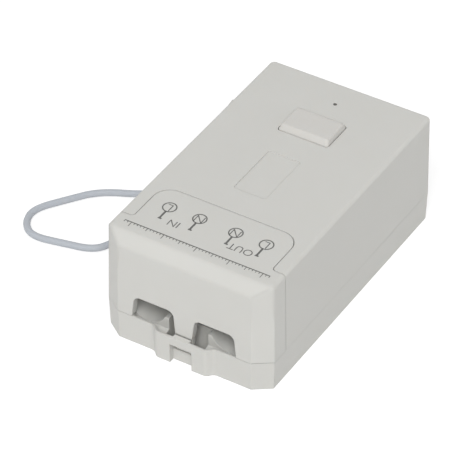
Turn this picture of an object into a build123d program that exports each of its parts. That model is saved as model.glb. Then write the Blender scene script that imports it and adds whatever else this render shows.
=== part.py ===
"""Radio receiver module in a small mains case, as separate pieces in one frame, in millimetres.

+X is to the right, +Y towards the button end, -Y towards the terminal end, and +Z up.
The origin is the middle of the flat face that the case stands on.
"""
import math
import os

from build123d import *

# Case: outside sizes
BODY_LENGTH = 88.0        # along Y at the joint between base and housing
BODY_WIDTH = 51.3         # along X at the same joint
BODY_HEIGHT = 34.75       # from the standing face to the top face
JOINT_Z = 9.2             # height of the joint between base and housing
UPPER_DRAFT = 1.05        # degrees that the upper walls lean inwards
LOWER_DRAFT = 1.87        # degrees that the base walls lean inwards
CORNER_CUT_X = 5.1        # flat on each front corner, across
CORNER_CUT_Y = 3.6        # and along the case
REAR_CORNER_R = 2.0
MIN_CORNER_R = 0.5
TOP_EDGE_R = 1.0
BAND_DEPTH = 3.2          # sloping band along the top front edge, on the top face
BAND_DROP = 3.5           # and down the front face
BAND_SETBACK = 0.4        # how far the top face has leaned back where the band starts

# Case: walls and clearances
HOUSING_WALL = 2.0
FRONT_WALL = 2.3
TOP_WALL = 2.0
BASE_WALL = 1.6
FLOOR = 2.0
SEAM_GAP = 0.2            # open line round the terminal cover
COVER_LIFT = 0.1          # air between the cover and the base
FIT = 0.1                 # small clearance between pieces that slide or drop in
RIM_INSET = 0.9           # locating rim of the base, from the outer face
RIM_HEIGHT = 1.2

# Front of the base: the lip bulges out past the cover, with a catch slot in it
BULGE_OUT = 1.8
BULGE_START = 10.3        # half widths of the bulge at its foot and its crest
BULGE_CREST = 6.9
NOTCH_HALF = 3.35
NOTCH_BACK = 2.0          # how far the notch's rear face lies behind the bulge
PAD_TOP = 3.6
BRIDGE_BOTTOM = 6.4
CHEEK_TOP_Z = 7.8
CATCH_NOSE = 1.2          # how far the catch reaches forward, under the bridge

# Terminal cover: its outline on the top face
TONGUE_HALF = 21.0
TONGUE_END = 24.2         # from the front of the case to the tongue's rear edge
TONGUE_CORNER_R = 5.0
COVER_DEPTH = 9.3         # from the front of the case to the seam down its sides
SHOULDER_R = 1.3
TAB_X = 12.5
TAB_WIDTH = 7.0
TAB_REACH = 1.5
TAB_THICK = 1.2
LEDGE_WIDTH = 1.6
LEDGE_THICK = 1.2

# Cable mouths in the cover, troughs in the base and clamps over them
MOUTH_X = 9.3
MOUTH_HALF_BOTTOM = 6.75
MOUTH_HALF_TOP = 6.0
MOUTH_HEIGHT = 7.0
MOUTH_R = 2.0
CLAMP_INNER_X = 4.4       # inner screw of each clamp, from the middle of the case
TROUGH_R = 5.8
TROUGH_BOTTOM_Z = 7.5
TROUGH_HALF = 6.6
TROUGH_RIM_Z = 11.0
TROUGH_FRONT = 2.5        # from the front of the case
TROUGH_REAR = 6.6
TROUGH_LOW_HALF = 5.4     # the low stretch of each trough, under its clamp
TROUGH_LOW_RIM_Z = 9.2
TROUGH_END = 11.0
RAMP_FOOT_Z = 6.2
LIP_THICK = 0.6           # of the front lip where it is thinned behind each cable mouth
CROSS_WALL_BACK = 5.1     # from the front of the case to the wall between the troughs
CROSS_WALL_THICK = 1.4
CROSS_WALL_TOP_Z = 10.6
CLAMP_BACK = 9.6          # from the front of the case to the clamps
CLAMP_WIDTH = 4.0
CLAMP_THICK = 2.4
CLAMP_REACH = 8.2         # from the middle of the clamp to each of its screws
CLAMP_TOOTH = 0.8
CLAMP_TOOTH_HALF = 3.0
CLAMP_BOSS_R = 2.2
CLAMP_SEAT_Z = 9.5
CLAMP_SCREW_R = 1.45
CLAMP_SCREW_LENGTH = 8.0
CLAMP_HEAD_R = 2.5
CLAMP_HEAD_HEIGHT = 1.7

# Top face: button, pinhole and label recess
BUTTON_INSET = 21.8       # from the rear of the case to the middle of the button
BUTTON_WIDTH = 15.5
BUTTON_LENGTH = 10.5
BUTTON_R = 0.8
BUTTON_PROUD = 1.5
BUTTON_FRONT_LEAN = 1.15  # how far each face of the button leans in over its height
BUTTON_REAR_LEAN = 0.8
BUTTON_SIDE_LEAN = 0.5
BUTTON_EDGE_R = 0.55
BUTTON_GAP = 0.22
BUTTON_FLANGE = 1.0
BUTTON_WALL = 1.3
BUTTON_GUIDE_WALL = 0.9
BUTTON_GUIDE_DEPTH = 1.9
BUTTON_POST_R = 2.0
PINHOLE_INSET = 9.4       # from the rear of the case
PINHOLE_R = 0.5
LABEL_AHEAD = 23.75       # from the middle of the button to the middle of the label recess
LABEL_WIDTH = 9.9
LABEL_LENGTH = 18.5
LABEL_R = 0.7
LABEL_DEPTH = 0.3
RIB_INSET = 20.94         # from the rear of the case to the steep end of the rib on the left wall
RIB_LENGTH = 5.1
RIB_PROUD = 0.11          # at the joint; the leaning wall leaves it prouder higher up
RIB_FOOT_Z = 20.0

# Boards
POWER_BOARD_Z = 6.4
POWER_BOARD_THICK = 1.6
BOARD_SIDE_GAP = 1.05     # from the power board to the side walls
BOARD_REAR_GAP = 0.6      # and to the rear wall
POWER_BOARD_BACK = 12.2   # from the front of the case to the power board
BOARD_POST_INSET = 12.0   # posts under the power board, from its ends
BOARD_POST_SIDE = 5.6     # and from its sides
CONTROL_POST_LENGTH = 5.95
CONTROL_BOARD_THICK = 1.2
CONTROL_BOARD_WIDTH = 35.0
CONTROL_BOARD_BACK = 4.8  # from the bulkhead to the control board
CONTROL_REAR_INSET = 3.0  # from the rear of the case
CONTROL_POST_R = 2.3
CONTROL_POST_X = 13.5
CONTROL_POST_INSETS = (5.0, 10.0)  # from the front and the rear of the control board
BOARD_SCREW_R = 1.0
BOARD_SCREW_LENGTH = 4.6
BOARD_HEAD_R = 1.9
BOARD_HEAD_HEIGHT = 1.3
BULKHEAD_BACK = 4.0       # behind the tongue's rear edge
BULKHEAD_THICK = 1.6

# Case screws, driven from below
CASE_SCREW_SIDE = 3.05    # from the inner face of the side wall
CASE_SCREW_BACK = 4.3     # behind the bulkhead
CASE_SCREW_INSET = 6.0    # from the rear of the case
CASE_SCREW_R = 1.45
CASE_SCREW_LENGTH = 12.0
CASE_HEAD_R = 2.7
CASE_HEAD_HEIGHT = 1.9
CASE_HEAD_Z = 3.2         # underside of the screw's bearing face, in its recess
CASE_RECESS_R = 3.0
CASE_BOSS_R = 2.7
CASE_POST_R = 3.9

# Terminals: two blocks of two poles
BLOCK_SIDE_GAP = 0.85     # from the middle of the case to each terminal block
POLE_PITCH = 9.3
POLE_BACK = 17.3          # from the front of the case
BLOCK_LENGTH = 10.2
BLOCK_FRONT_WALL = 1.7
BLOCK_HEIGHT = 16.0
WIRE_HOLE_R = 1.6
WIRE_HOLE_HEIGHT = 7.6    # above the power board
CAGE_WIDTH = 6.0
CAGE_LENGTH = 5.6
CAGE_WALL = 0.9
CAGE_RISE = 1.8           # travel of a cage between open and clamped
CONTACT_THICK = 0.8
CONTACT_WIDTH = 3.6
TERMINAL_SCREW_R = 1.5
TERMINAL_HEAD_R = 2.2
TERMINAL_HEAD_HEIGHT = 1.6
SCREW_SLOT = 0.7

# Aerial
AERIAL_R = 1.0
AERIAL_HOLE_R = 1.15
AERIAL_HOLE_Z = 12.0
AERIAL_STUB = 6.8         # straight out of the case at each end of the loop
AERIAL_OUT_Y = 22.0
AERIAL_IN_Y = 5.5
AERIAL_LEAD_SIDE = 1.9    # from the side of the control board
AERIAL_LEAD_R = 0.9
AERIAL_LEAD_BEND = 3.0

# Switch and lamp on the control board
SWITCH_SIZE = 6.0
SWITCH_HEIGHT = 3.5
SWITCH_CHAMFER = 0.3
SWITCH_TRAVEL = 0.4
PLUNGER_R = 1.75
PLUNGER_PROUD = 1.0
PLUNGER_SUNK = 0.6
LED_R = 1.5
LED_HEIGHT = 5.0
LED_FLANGE = 0.3
LED_FLANGE_HEIGHT = 1.0

# Header, contacts and clearances round the boards
HEADER_PINS = 6
HEADER_PITCH = 2.54
HEADER_INSET = 3.0        # from the rear of the control board
HEADER_PIN = 0.64          # square pins
HEADER_COMB = 2.5
PIN_TAIL = 1.2
BOARD_NOTCH = 0.4
CONTACT_PIN = 0.8
LEG_CLEAR = 0.4
BLOCK_SHIFT = 0.3         # the screw stands a little in front of the block's middle
CAGE_CLEAR = 0.3

# Parts on the power board: middles, then sizes
RELAY_AT = (9.4, -3.0)
RELAY_WIDTH = 15.6
RELAY_LENGTH = 19.2
RELAY_HEIGHT = 15.3
RELAY_R = 0.6
FILM_AT = (-8.2, -8.6)
FILM_WIDTH = 18.0
FILM_LENGTH = 7.5
FILM_HEIGHT = 13.5
CAN_CAPACITORS = ((-7.6, 14.0, 5.0, 16.0), (-8.4, 27.0, 4.0, 12.0))
CAN_RIM = 0.5
CORE_AT = (9.0, 16.5)
CORE_WIDTH = 6.5
CORE_LENGTH = 13.0
CORE_HEIGHT = 10.5
CORE_LEG = 2.4
CORE_LIFT = 1.5
WINDING_PROUD = 2.6
FUSE_AT = (-10.0, 1.2)
FUSE_R = 4.2
FUSE_HEIGHT = 8.0
VARISTOR_AT = (-2.6, 2.0)
VARISTOR_R = 4.5
VARISTOR_THICK = 3.6
VARISTOR_RIM = 0.9
BRIDGE_AT = (9.0, 28.5)
BRIDGE_WIDTH = 8.4
BRIDGE_LENGTH = 6.4
BRIDGE_HEIGHT = 2.8
CHOKE_AT = (0.0, 29.5)
CHOKE_R = 3.6
CHOKE_HEIGHT = 8.0
CHOKE_FLANGE = 1.0

# Parts on the control board
CHIP_AT = (-6.5, 6.0)
CHIP_WIDTH = 7.5
CHIP_LENGTH = 12.8
CHIP_HEIGHT = 2.2
CHIP_LEGS = 10
CHIP_PITCH = 1.27
CHIP_LEG = 1.4
CAN_AT = (7.5, 5.0)
CAN_SIZE = 13.0
CAN_HEIGHT = 2.6
CRYSTAL_AT = (-6.0, -4.0)
CRYSTAL_LENGTH = 10.2
CRYSTAL_WIDTH = 4.0
CRYSTAL_HEIGHT = 3.4

# Places worked out from the sizes above
half_width = BODY_WIDTH / 2
half_length = BODY_LENGTH / 2
front_y = -half_length
bulge_y = front_y - BULGE_OUT
ceiling_z = BODY_HEIGHT - TOP_WALL
cover_seam_y = front_y + COVER_DEPTH
tongue_y = front_y + TONGUE_END
inner_wall_x = half_width - HOUSING_WALL
bulkhead_y = tongue_y + BULKHEAD_BACK
clamp_y = front_y + CLAMP_BACK
trough_x = CLAMP_INNER_X + CLAMP_REACH
pole_y = front_y + POLE_BACK
pole_inner_x = BLOCK_SIDE_GAP + POLE_PITCH / 2
power_board_half = inner_wall_x - BOARD_SIDE_GAP
power_board_front = front_y + POWER_BOARD_BACK
power_board_rear = half_length - HOUSING_WALL - BOARD_REAR_GAP
power_top_z = POWER_BOARD_Z + POWER_BOARD_THICK
control_top_z = ceiling_z - CONTROL_POST_LENGTH
control_board_z = control_top_z - CONTROL_BOARD_THICK
control_board_front = bulkhead_y + CONTROL_BOARD_BACK
control_board_rear = half_length - CONTROL_REAR_INSET
control_post_ys = (control_board_front + CONTROL_POST_INSETS[0], control_board_rear - CONTROL_POST_INSETS[1])
case_screw_x = inner_wall_x - CASE_SCREW_SIDE
case_screw_ys = (bulkhead_y + CASE_SCREW_BACK, half_length - CASE_SCREW_INSET)
header_y = control_board_rear - HEADER_INSET
aerial_lead_x = AERIAL_LEAD_SIDE - CONTROL_BOARD_WIDTH / 2
button_y = half_length - BUTTON_INSET
pinhole_y = half_length - PINHOLE_INSET
label_y = button_y - LABEL_AHEAD
rib_y = half_length - RIB_INSET
button_top_z = BODY_HEIGHT + BUTTON_PROUD
plunger_top_z = control_top_z + SWITCH_HEIGHT + PLUNGER_PROUD

os.makedirs("parts", exist_ok=True)


def box_between(low, high, mode=Mode.ADD):
    """Box from its lowest to its highest corner, added to the part being built."""
    middle = [(a + b) / 2 for a, b in zip(low, high)]
    size = [b - a for a, b in zip(low, high)]
    with Locations(tuple(middle)):
        Box(*size, mode=mode)


def upright(x, y, z_low, z_high, radius, mode=Mode.ADD):
    """Upright round post or hole between two heights."""
    with Locations((x, y, z_low)):
        Cylinder(radius, z_high - z_low, align=(Align.CENTER, Align.CENTER, Align.MIN), mode=mode)


def square_post(x, y, z_low, z_high, width, mode=Mode.ADD):
    """Upright square pin or hole between two heights."""
    box_between((x - width / 2, y - width / 2, z_low), (x + width / 2, y + width / 2, z_high), mode)


def upper_outline(inset, front_inset):
    """Plan of the upper case at the joint, moved in from the outer face by a wall."""
    with BuildSketch() as plan:
        with BuildLine():
            Polyline(
                (half_width, front_y + CORNER_CUT_Y),
                (half_width, half_length),
                (-half_width, half_length),
                (-half_width, front_y + CORNER_CUT_Y),
                (-half_width + CORNER_CUT_X, front_y),
                (half_width - CORNER_CUT_X, front_y),
                close=True,
            )
        make_face()
        if inset > 0:
            offset(amount=-inset, kind=Kind.INTERSECTION)
        rear_corners = plan.vertices().group_by(Axis.Y)[-1]
        fillet(rear_corners, max(REAR_CORNER_R - inset, MIN_CORNER_R))
        if front_inset > 0:
            with Locations((0, front_y + front_inset)):
                Rectangle(
                    BODY_WIDTH, BODY_LENGTH, align=(Align.CENTER, Align.MIN), mode=Mode.INTERSECT
                )
    return plan.sketch


def base_outline(inset):
    """Plan of the base at the joint, with the front lip's bulge, moved in by a wall."""
    middle = ((BULGE_START + BULGE_CREST) / 2, (front_y + bulge_y) / 2)
    with BuildSketch() as plan:
        with BuildLine():
            Polyline(
                (0, half_length),
                (half_width, half_length),
                (half_width, front_y + CORNER_CUT_Y),
                (half_width - CORNER_CUT_X, front_y),
                (BULGE_START, front_y),
            )
            TangentArc((BULGE_START, front_y), middle, tangent=(-1, 0))
            TangentArc((BULGE_CREST, bulge_y), middle, tangent=(1, 0))
            Line((BULGE_CREST, bulge_y), (0, bulge_y))
            mirror(about=Plane.YZ)
        make_face()
        if inset > 0:
            offset(amount=-inset, kind=Kind.INTERSECTION)
        rear = plan.vertices().group_by(Axis.Y)[-1].group_by(Axis.X)
        fillet(rear[0] + rear[-1], max(REAR_CORNER_R - inset, MIN_CORNER_R))
    return plan.sketch


def upper_form(inset, front_inset, top_z, edge_r):
    """Leaning block of the upper case, with the sloping band along its top front edge."""
    band_y = front_y + BAND_SETBACK + BAND_DEPTH + front_inset
    past = 0.3
    with BuildPart() as form:
        with BuildSketch(Plane.XY.offset(JOINT_Z)):
            add(upper_outline(inset, front_inset))
        extrude(amount=top_z - JOINT_Z, dir=(0, 0, 1), taper=UPPER_DRAFT)
        with BuildSketch(Plane.YZ):
            with BuildLine():
                Polyline(
                    (band_y + past * BAND_DEPTH, top_z + past * BAND_DROP),
                    (band_y - (1 + past) * BAND_DEPTH, top_z - (1 + past) * BAND_DROP),
                    (band_y - (1 + past) * BAND_DEPTH, top_z + past * BAND_DROP),
                    close=True,
                )
            make_face()
        extrude(amount=BODY_WIDTH, both=True, mode=Mode.SUBTRACT)
        if edge_r > 0:
            top_edges = form.faces().sort_by(Axis.Z)[-1].edges()
            fillet(top_edges.sort_by(Axis.Y)[1:], edge_r)
    return form.part


def cover_zone(clearance):
    """Space that the terminal cover takes in the upper case, grown by a clearance."""
    with BuildPart() as zone:
        with BuildSketch(Plane.XY.offset(ceiling_z)) as tongue:
            with BuildLine():
                Polyline(
                    (TONGUE_HALF, tongue_y),
                    (-TONGUE_HALF, tongue_y),
                    (-TONGUE_HALF, cover_seam_y),
                    (-BODY_WIDTH, cover_seam_y),
                    (-BODY_WIDTH, front_y - COVER_DEPTH),
                    (BODY_WIDTH, front_y - COVER_DEPTH),
                    (BODY_WIDTH, cover_seam_y),
                    (TONGUE_HALF, cover_seam_y),
                    close=True,
                )
            make_face()
            rear = tongue.vertices().group_by(Axis.Y)[-1]
            fillet(rear, TONGUE_CORNER_R)
            shoulders = tongue.vertices().filter_by_position(
                Axis.Y, cover_seam_y - FIT, cover_seam_y + FIT
            ).filter_by_position(Axis.X, -TONGUE_HALF - FIT, TONGUE_HALF + FIT)
            fillet(shoulders, SHOULDER_R)
            if clearance > 0:
                offset(amount=clearance, kind=Kind.ARC)
        extrude(amount=2 * TOP_WALL)
        box_between(
            (-BODY_WIDTH, front_y - COVER_DEPTH, JOINT_Z - TOP_WALL),
            (BODY_WIDTH, cover_seam_y + clearance, ceiling_z),
        )
    return zone.part


# Upper case, before the cover is cut from it
outer_block = upper_form(0, 0, BODY_HEIGHT, TOP_EDGE_R)
inner_block = upper_form(HOUSING_WALL, FRONT_WALL, ceiling_z, 0)

# Base tray
with BuildPart() as base_tray:
    with BuildSketch(Plane.XY.offset(JOINT_Z)):
        add(base_outline(0))
    extrude(amount=JOINT_Z, dir=(0, 0, -1), taper=LOWER_DRAFT)
    with BuildSketch(Plane.XY.offset(FLOOR)):
        add(base_outline(BASE_WALL))
    extrude(amount=BODY_HEIGHT, dir=(0, 0, 1), mode=Mode.SUBTRACT)

    # Locating rim that stands inside the housing's wall, behind the terminal cover
    with BuildSketch(Plane.XY.offset(JOINT_Z)):
        add(base_outline(RIM_INSET))
        add(base_outline(BASE_WALL), mode=Mode.SUBTRACT)
        with Locations((0, cover_seam_y + 2 * SEAM_GAP)):
            Rectangle(
                BODY_WIDTH, BODY_LENGTH, align=(Align.CENTER, Align.MIN), mode=Mode.INTERSECT
            )
    extrude(amount=RIM_HEIGHT, dir=(0, 0, 1))

    # Catch slot: pad below, bridge above, cheeks at each side
    pad_y = bulge_y + NOTCH_BACK
    cheek_half = NOTCH_HALF + BASE_WALL
    box_between(
        (-cheek_half, bulge_y + BASE_WALL - FIT, FLOOR), (cheek_half, pad_y + BASE_WALL, BRIDGE_BOTTOM)
    )
    box_between(
        (-NOTCH_HALF, bulge_y - BULGE_OUT, -FLOOR), (NOTCH_HALF, pad_y, BRIDGE_BOTTOM), mode=Mode.SUBTRACT
    )
    box_between(
        (-NOTCH_HALF, pad_y - BASE_WALL, PAD_TOP),
        (NOTCH_HALF, pad_y + 2 * BASE_WALL, BRIDGE_BOTTOM),
        mode=Mode.SUBTRACT,
    )

    # Cheeks that stand up beside the catch
    for side in (-1, 1):
        box_between(
            (min(side * NOTCH_HALF, side * cheek_half), bulge_y + BASE_WALL - FIT, FLOOR),
            (max(side * NOTCH_HALF, side * cheek_half), pad_y + BASE_WALL, CHEEK_TOP_Z),
        )

    # Front lip thinned behind each cable mouth
    with BuildPart(mode=Mode.PRIVATE) as lip_pocket:
        with BuildSketch(Plane.XY.offset(RAMP_FOOT_Z)):
            add(base_outline(LIP_THICK))
        extrude(amount=JOINT_Z)
        with BuildPart(mode=Mode.INTERSECT):
            for side in (-1, 1):
                box_between(
                    (side * MOUTH_X - MOUTH_HALF_BOTTOM, bulge_y, FLOOR),
                    (side * MOUTH_X + MOUTH_HALF_BOTTOM, front_y + TROUGH_FRONT, BODY_HEIGHT),
                )
    add(lip_pocket.part, mode=Mode.SUBTRACT)

    # Cable troughs: half pipes with a ramp in front, high at the mouth and low under the clamp
    trough_front = front_y + TROUGH_FRONT
    trough_rear = front_y + TROUGH_REAR
    trough_end = front_y + TROUGH_END
    ramp_y = bulge_y + LIP_THICK - FIT
    with BuildPart(mode=Mode.PRIVATE) as trough_room:
        with BuildSketch():
            add(base_outline(LIP_THICK - FIT))
        extrude(amount=JOINT_Z - FIT)
        with BuildSketch(Plane.XY.offset(JOINT_Z - 2 * FIT)):
            add(upper_outline(HOUSING_WALL + 2 * FIT, FRONT_WALL + 2 * FIT))
        extrude(amount=TROUGH_RIM_Z)
    with BuildPart(mode=Mode.PRIVATE) as troughs:
        for side in (-1, 1):
            x = side * trough_x
            box_between(
                (x - TROUGH_HALF, trough_front, FLOOR - FIT), (x + TROUGH_HALF, trough_rear, TROUGH_RIM_Z)
            )
            box_between(
                (x - TROUGH_LOW_HALF, trough_rear - FIT, FLOOR - FIT),
                (x + TROUGH_LOW_HALF, trough_end, TROUGH_LOW_RIM_Z),
            )
            with BuildSketch(Plane.XZ.offset(-trough_end - FIT)):
                with Locations((x, TROUGH_BOTTOM_Z + TROUGH_R)):
                    Circle(TROUGH_R)
            extrude(amount=trough_end - trough_front + 2 * FIT, mode=Mode.SUBTRACT)
            with BuildSketch(Plane.YZ.offset(x)):
                with BuildLine():
                    Polyline(
                        (ramp_y, FLOOR - FIT),
                        (trough_front + FIT, FLOOR - FIT),
                        (trough_front + FIT, TROUGH_BOTTOM_Z - FIT),
                        (ramp_y, RAMP_FOOT_Z),
                        close=True,
                    )
                make_face()
            extrude(amount=TROUGH_HALF, both=True)
        add(trough_room.part, mode=Mode.INTERSECT)
    add(troughs.part)
    cross_half = trough_x - TROUGH_HALF + FIT
    box_between(
        (-cross_half, front_y + CROSS_WALL_BACK, FLOOR - FIT),
        (cross_half, front_y + CROSS_WALL_BACK + CROSS_WALL_THICK, CROSS_WALL_TOP_Z),
    )

    # Posts for the clamp screws, the power board and the case screws
    for side in (-1, 1):
        for reach in (-CLAMP_REACH, CLAMP_REACH):
            x = side * trough_x + reach
            upright(x, clamp_y, FLOOR - FIT, CLAMP_SEAT_Z, CLAMP_BOSS_R)
            upright(x, clamp_y, FLOOR + FIT, CLAMP_SEAT_Z, CLAMP_SCREW_R + FIT / 2, Mode.SUBTRACT)
        for y in (power_board_front + BOARD_POST_INSET, power_board_rear - BOARD_POST_INSET):
            x = side * (power_board_half - BOARD_POST_SIDE)
            upright(x, y, FLOOR - FIT, POWER_BOARD_Z, CONTROL_POST_R)
        for y in case_screw_ys:
            x = side * case_screw_x
            upright(x, y, FLOOR - FIT, POWER_BOARD_Z - 0.4, CASE_POST_R)
            upright(x, y, -FLOOR, CASE_HEAD_Z, CASE_RECESS_R, Mode.SUBTRACT)
            upright(x, y, 0, POWER_BOARD_Z, CASE_SCREW_R + FIT, Mode.SUBTRACT)
base_tray.part.label = "base_tray"
export_step(base_tray.part, "parts/base_tray.step")

# Top housing
with BuildPart() as top_housing:
    add(outer_block)
    add(inner_block, mode=Mode.SUBTRACT)
    add(cover_zone(SEAM_GAP), mode=Mode.SUBTRACT)

    # Step in the wall's foot for the base's rim
    with BuildSketch(Plane.XY.offset(JOINT_Z)):
        add(upper_outline(RIM_INSET - FIT, 0))
        add(upper_outline(HOUSING_WALL + FIT, 0), mode=Mode.SUBTRACT)
    extrude(amount=RIM_HEIGHT + FIT, dir=(0, 0, 1), mode=Mode.SUBTRACT)

    # Ledges that the cover's tongue rests on
    ledge_low = ceiling_z - FIT - LEDGE_THICK
    for side in (-1, 1):
        near, far = sorted((side * (TONGUE_HALF - LEDGE_WIDTH), side * (inner_wall_x - FIT)))
        box_between(
            (near, cover_seam_y + SEAM_GAP, ledge_low), (far, tongue_y - TONGUE_CORNER_R, ceiling_z - FIT)
        )
        near, far = sorted((side * (TONGUE_HALF + SEAM_GAP), side * (inner_wall_x - FIT)))
        root_y = cover_seam_y + SHOULDER_R + 2 * SEAM_GAP
        box_between((near, root_y, ledge_low), (far, tongue_y - TONGUE_CORNER_R, ceiling_z + FIT))

    # Bulkhead between the terminals and the electronics
    bulk_front = bulkhead_y - BULKHEAD_THICK / 2
    bulk_rear = bulkhead_y + BULKHEAD_THICK / 2
    step_z = JOINT_Z + RIM_HEIGHT + 2 * FIT
    box_between(
        (-inner_wall_x - 0.5, bulk_front, step_z), (inner_wall_x + 0.5, bulk_rear, ceiling_z + FIT)
    )
    box_between(
        (-inner_wall_x + FIT, bulk_front, power_top_z + FIT), (inner_wall_x - FIT, bulk_rear, step_z)
    )

    # Bosses for the case screws and posts for the control board
    for side in (-1, 1):
        for y in case_screw_ys:
            x = side * case_screw_x
            boss_low = POWER_BOARD_Z - 0.4
            upright(x, y, boss_low, ceiling_z + FIT, CASE_BOSS_R)
            pilot_top = CASE_HEAD_Z + CASE_SCREW_LENGTH + 1.0
            upright(x, y, boss_low - FIT, pilot_top, CASE_SCREW_R + FIT / 2, Mode.SUBTRACT)
        for y in control_post_ys:
            x = side * CONTROL_POST_X
            upright(x, y, control_top_z, ceiling_z + FIT, CONTROL_POST_R)
            screw_top = control_board_z + BOARD_SCREW_LENGTH + 0.5
            upright(x, y, control_top_z - FIT, screw_top, BOARD_SCREW_R + FIT / 2, Mode.SUBTRACT)

    # Button: guide frame under the top wall, and the aperture
    guide_grow = 2 * (BUTTON_FLANGE + FIT)
    with BuildSketch(Plane.XY.offset(ceiling_z - BUTTON_GUIDE_DEPTH)):
        with Locations((0, button_y)):
            RectangleRounded(
                BUTTON_WIDTH + guide_grow + 2 * BUTTON_GUIDE_WALL,
                BUTTON_LENGTH + guide_grow + 2 * BUTTON_GUIDE_WALL,
                BUTTON_R + BUTTON_FLANGE,
            )
            RectangleRounded(
                BUTTON_WIDTH + guide_grow,
                BUTTON_LENGTH + guide_grow,
                BUTTON_R,
                mode=Mode.SUBTRACT,
            )
    extrude(amount=BUTTON_GUIDE_DEPTH + FIT)
    with BuildSketch(Plane.XY.offset(ceiling_z - FIT)):
        with Locations((0, button_y)):
            RectangleRounded(
                BUTTON_WIDTH + 2 * BUTTON_GAP, BUTTON_LENGTH + 2 * BUTTON_GAP, BUTTON_R + BUTTON_GAP
            )
    extrude(amount=2 * TOP_WALL, mode=Mode.SUBTRACT)

    # Pinhole over the indicator, and the shallow recess for a label
    upright(0, pinhole_y, ceiling_z - FIT, BODY_HEIGHT + FIT, PINHOLE_R, Mode.SUBTRACT)
    with BuildSketch(Plane.XY.offset(BODY_HEIGHT - LABEL_DEPTH)):
        with Locations((0, label_y)):
            RectangleRounded(LABEL_WIDTH, LABEL_LENGTH, LABEL_R)
    extrude(amount=TOP_WALL, mode=Mode.SUBTRACT)

    # Small rib on the left wall, then the two aerial holes
    lean = (BODY_HEIGHT - JOINT_Z) * math.tan(math.radians(UPPER_DRAFT))
    wall_top_x = half_width - lean
    with BuildSketch(Plane.XY.offset(RIB_FOOT_Z)):
        with BuildLine():
            Polyline(
                (-wall_top_x, rib_y - RIB_LENGTH),
                (-half_width - RIB_PROUD, rib_y),
                (-wall_top_x + TOP_EDGE_R, rib_y + 2 * FIT),
                (-wall_top_x + TOP_EDGE_R, rib_y - RIB_LENGTH),
                close=True,
            )
        make_face()
    extrude(amount=BODY_HEIGHT - TOP_EDGE_R - RIB_FOOT_Z, dir=(0, 0, 1))
    for y in (AERIAL_OUT_Y, AERIAL_IN_Y):
        with Locations(Location((-half_width, y, AERIAL_HOLE_Z), (0, 90, 0))):
            Cylinder(AERIAL_HOLE_R, 4 * HOUSING_WALL, mode=Mode.SUBTRACT)
top_housing.part.label = "top_housing"
export_step(top_housing.part, "parts/top_housing.step")

# Terminal cover
with BuildPart() as terminal_cover:
    add(outer_block)
    add(inner_block, mode=Mode.SUBTRACT)
    add(cover_zone(0), mode=Mode.INTERSECT)
    box_between(
        (-BODY_WIDTH, front_y - COVER_DEPTH, JOINT_Z - TOP_WALL),
        (BODY_WIDTH, cover_seam_y + COVER_DEPTH, JOINT_Z + COVER_LIFT),
        mode=Mode.SUBTRACT,
    )

    # Cable mouths, wider at the foot
    flare = (MOUTH_HALF_BOTTOM - MOUTH_HALF_TOP) / MOUTH_HEIGHT
    for side in (-1, 1):
        with BuildSketch(Plane.XZ.offset(-front_y - 2 * FRONT_WALL)) as mouth:
            foot_half = MOUTH_HALF_BOTTOM + flare * TOP_WALL
            centre = side * MOUTH_X
            with BuildLine():
                Polyline(
                    (centre - foot_half, JOINT_Z - TOP_WALL),
                    (centre + foot_half, JOINT_Z - TOP_WALL),
                    (centre + MOUTH_HALF_TOP, JOINT_Z + MOUTH_HEIGHT),
                    (centre - MOUTH_HALF_TOP, JOINT_Z + MOUTH_HEIGHT),
                    close=True,
                )
            make_face()
            fillet(mouth.vertices().group_by(Axis.Z)[-1], MOUTH_R)
        extrude(amount=4 * FRONT_WALL, mode=Mode.SUBTRACT)

    # Tabs at the tongue's rear edge, which hook under the housing
    tab_top = ceiling_z - SEAM_GAP
    for side in (-1, 1):
        with BuildSketch(Plane.YZ.offset(side * TAB_X)):
            with BuildLine():
                Polyline(
                    (tongue_y - 3 * TAB_THICK, ceiling_z + FIT),
                    (tongue_y - SEAM_GAP, ceiling_z + FIT),
                    (tongue_y - SEAM_GAP, tab_top),
                    (tongue_y + TAB_REACH, tab_top - FIT),
                    (tongue_y + TAB_REACH, tab_top - TAB_THICK),
                    (tongue_y - 2 * TAB_THICK, tab_top - TAB_THICK),
                    close=True,
                )
            make_face()
        extrude(amount=TAB_WIDTH / 2, both=True)
terminal_cover.part.label = "terminal_cover"
export_step(terminal_cover.part, "parts/terminal_cover.step")

# Springy catch that hangs from the cover behind the base's bridge
catch_front = bulge_y + BASE_WALL + 0.7
catch_rear = catch_front + 1.4
catch_half = MOUTH_X - MOUTH_HALF_BOTTOM - FIT
with BuildPart() as cover_latch:
    with BuildSketch(Plane.YZ):
        with BuildLine():
            Polyline(
                (catch_front, JOINT_Z + COVER_LIFT),
                (catch_front, BRIDGE_BOTTOM - SEAM_GAP),
                (catch_front - CATCH_NOSE, BRIDGE_BOTTOM - SEAM_GAP),
                (catch_front - CATCH_NOSE, BRIDGE_BOTTOM - 0.5),
                (catch_front, BRIDGE_BOTTOM - CATCH_NOSE),
                (catch_front, PAD_TOP + 0.25),
                (catch_rear - 0.3, PAD_TOP + 0.25),
                (catch_rear, JOINT_Z + COVER_LIFT),
                close=True,
            )
        make_face()
    extrude(amount=catch_half, both=True)
cover_latch.part.label = "cover_latch"
export_step(cover_latch.part, "parts/cover_latch.step")

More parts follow.
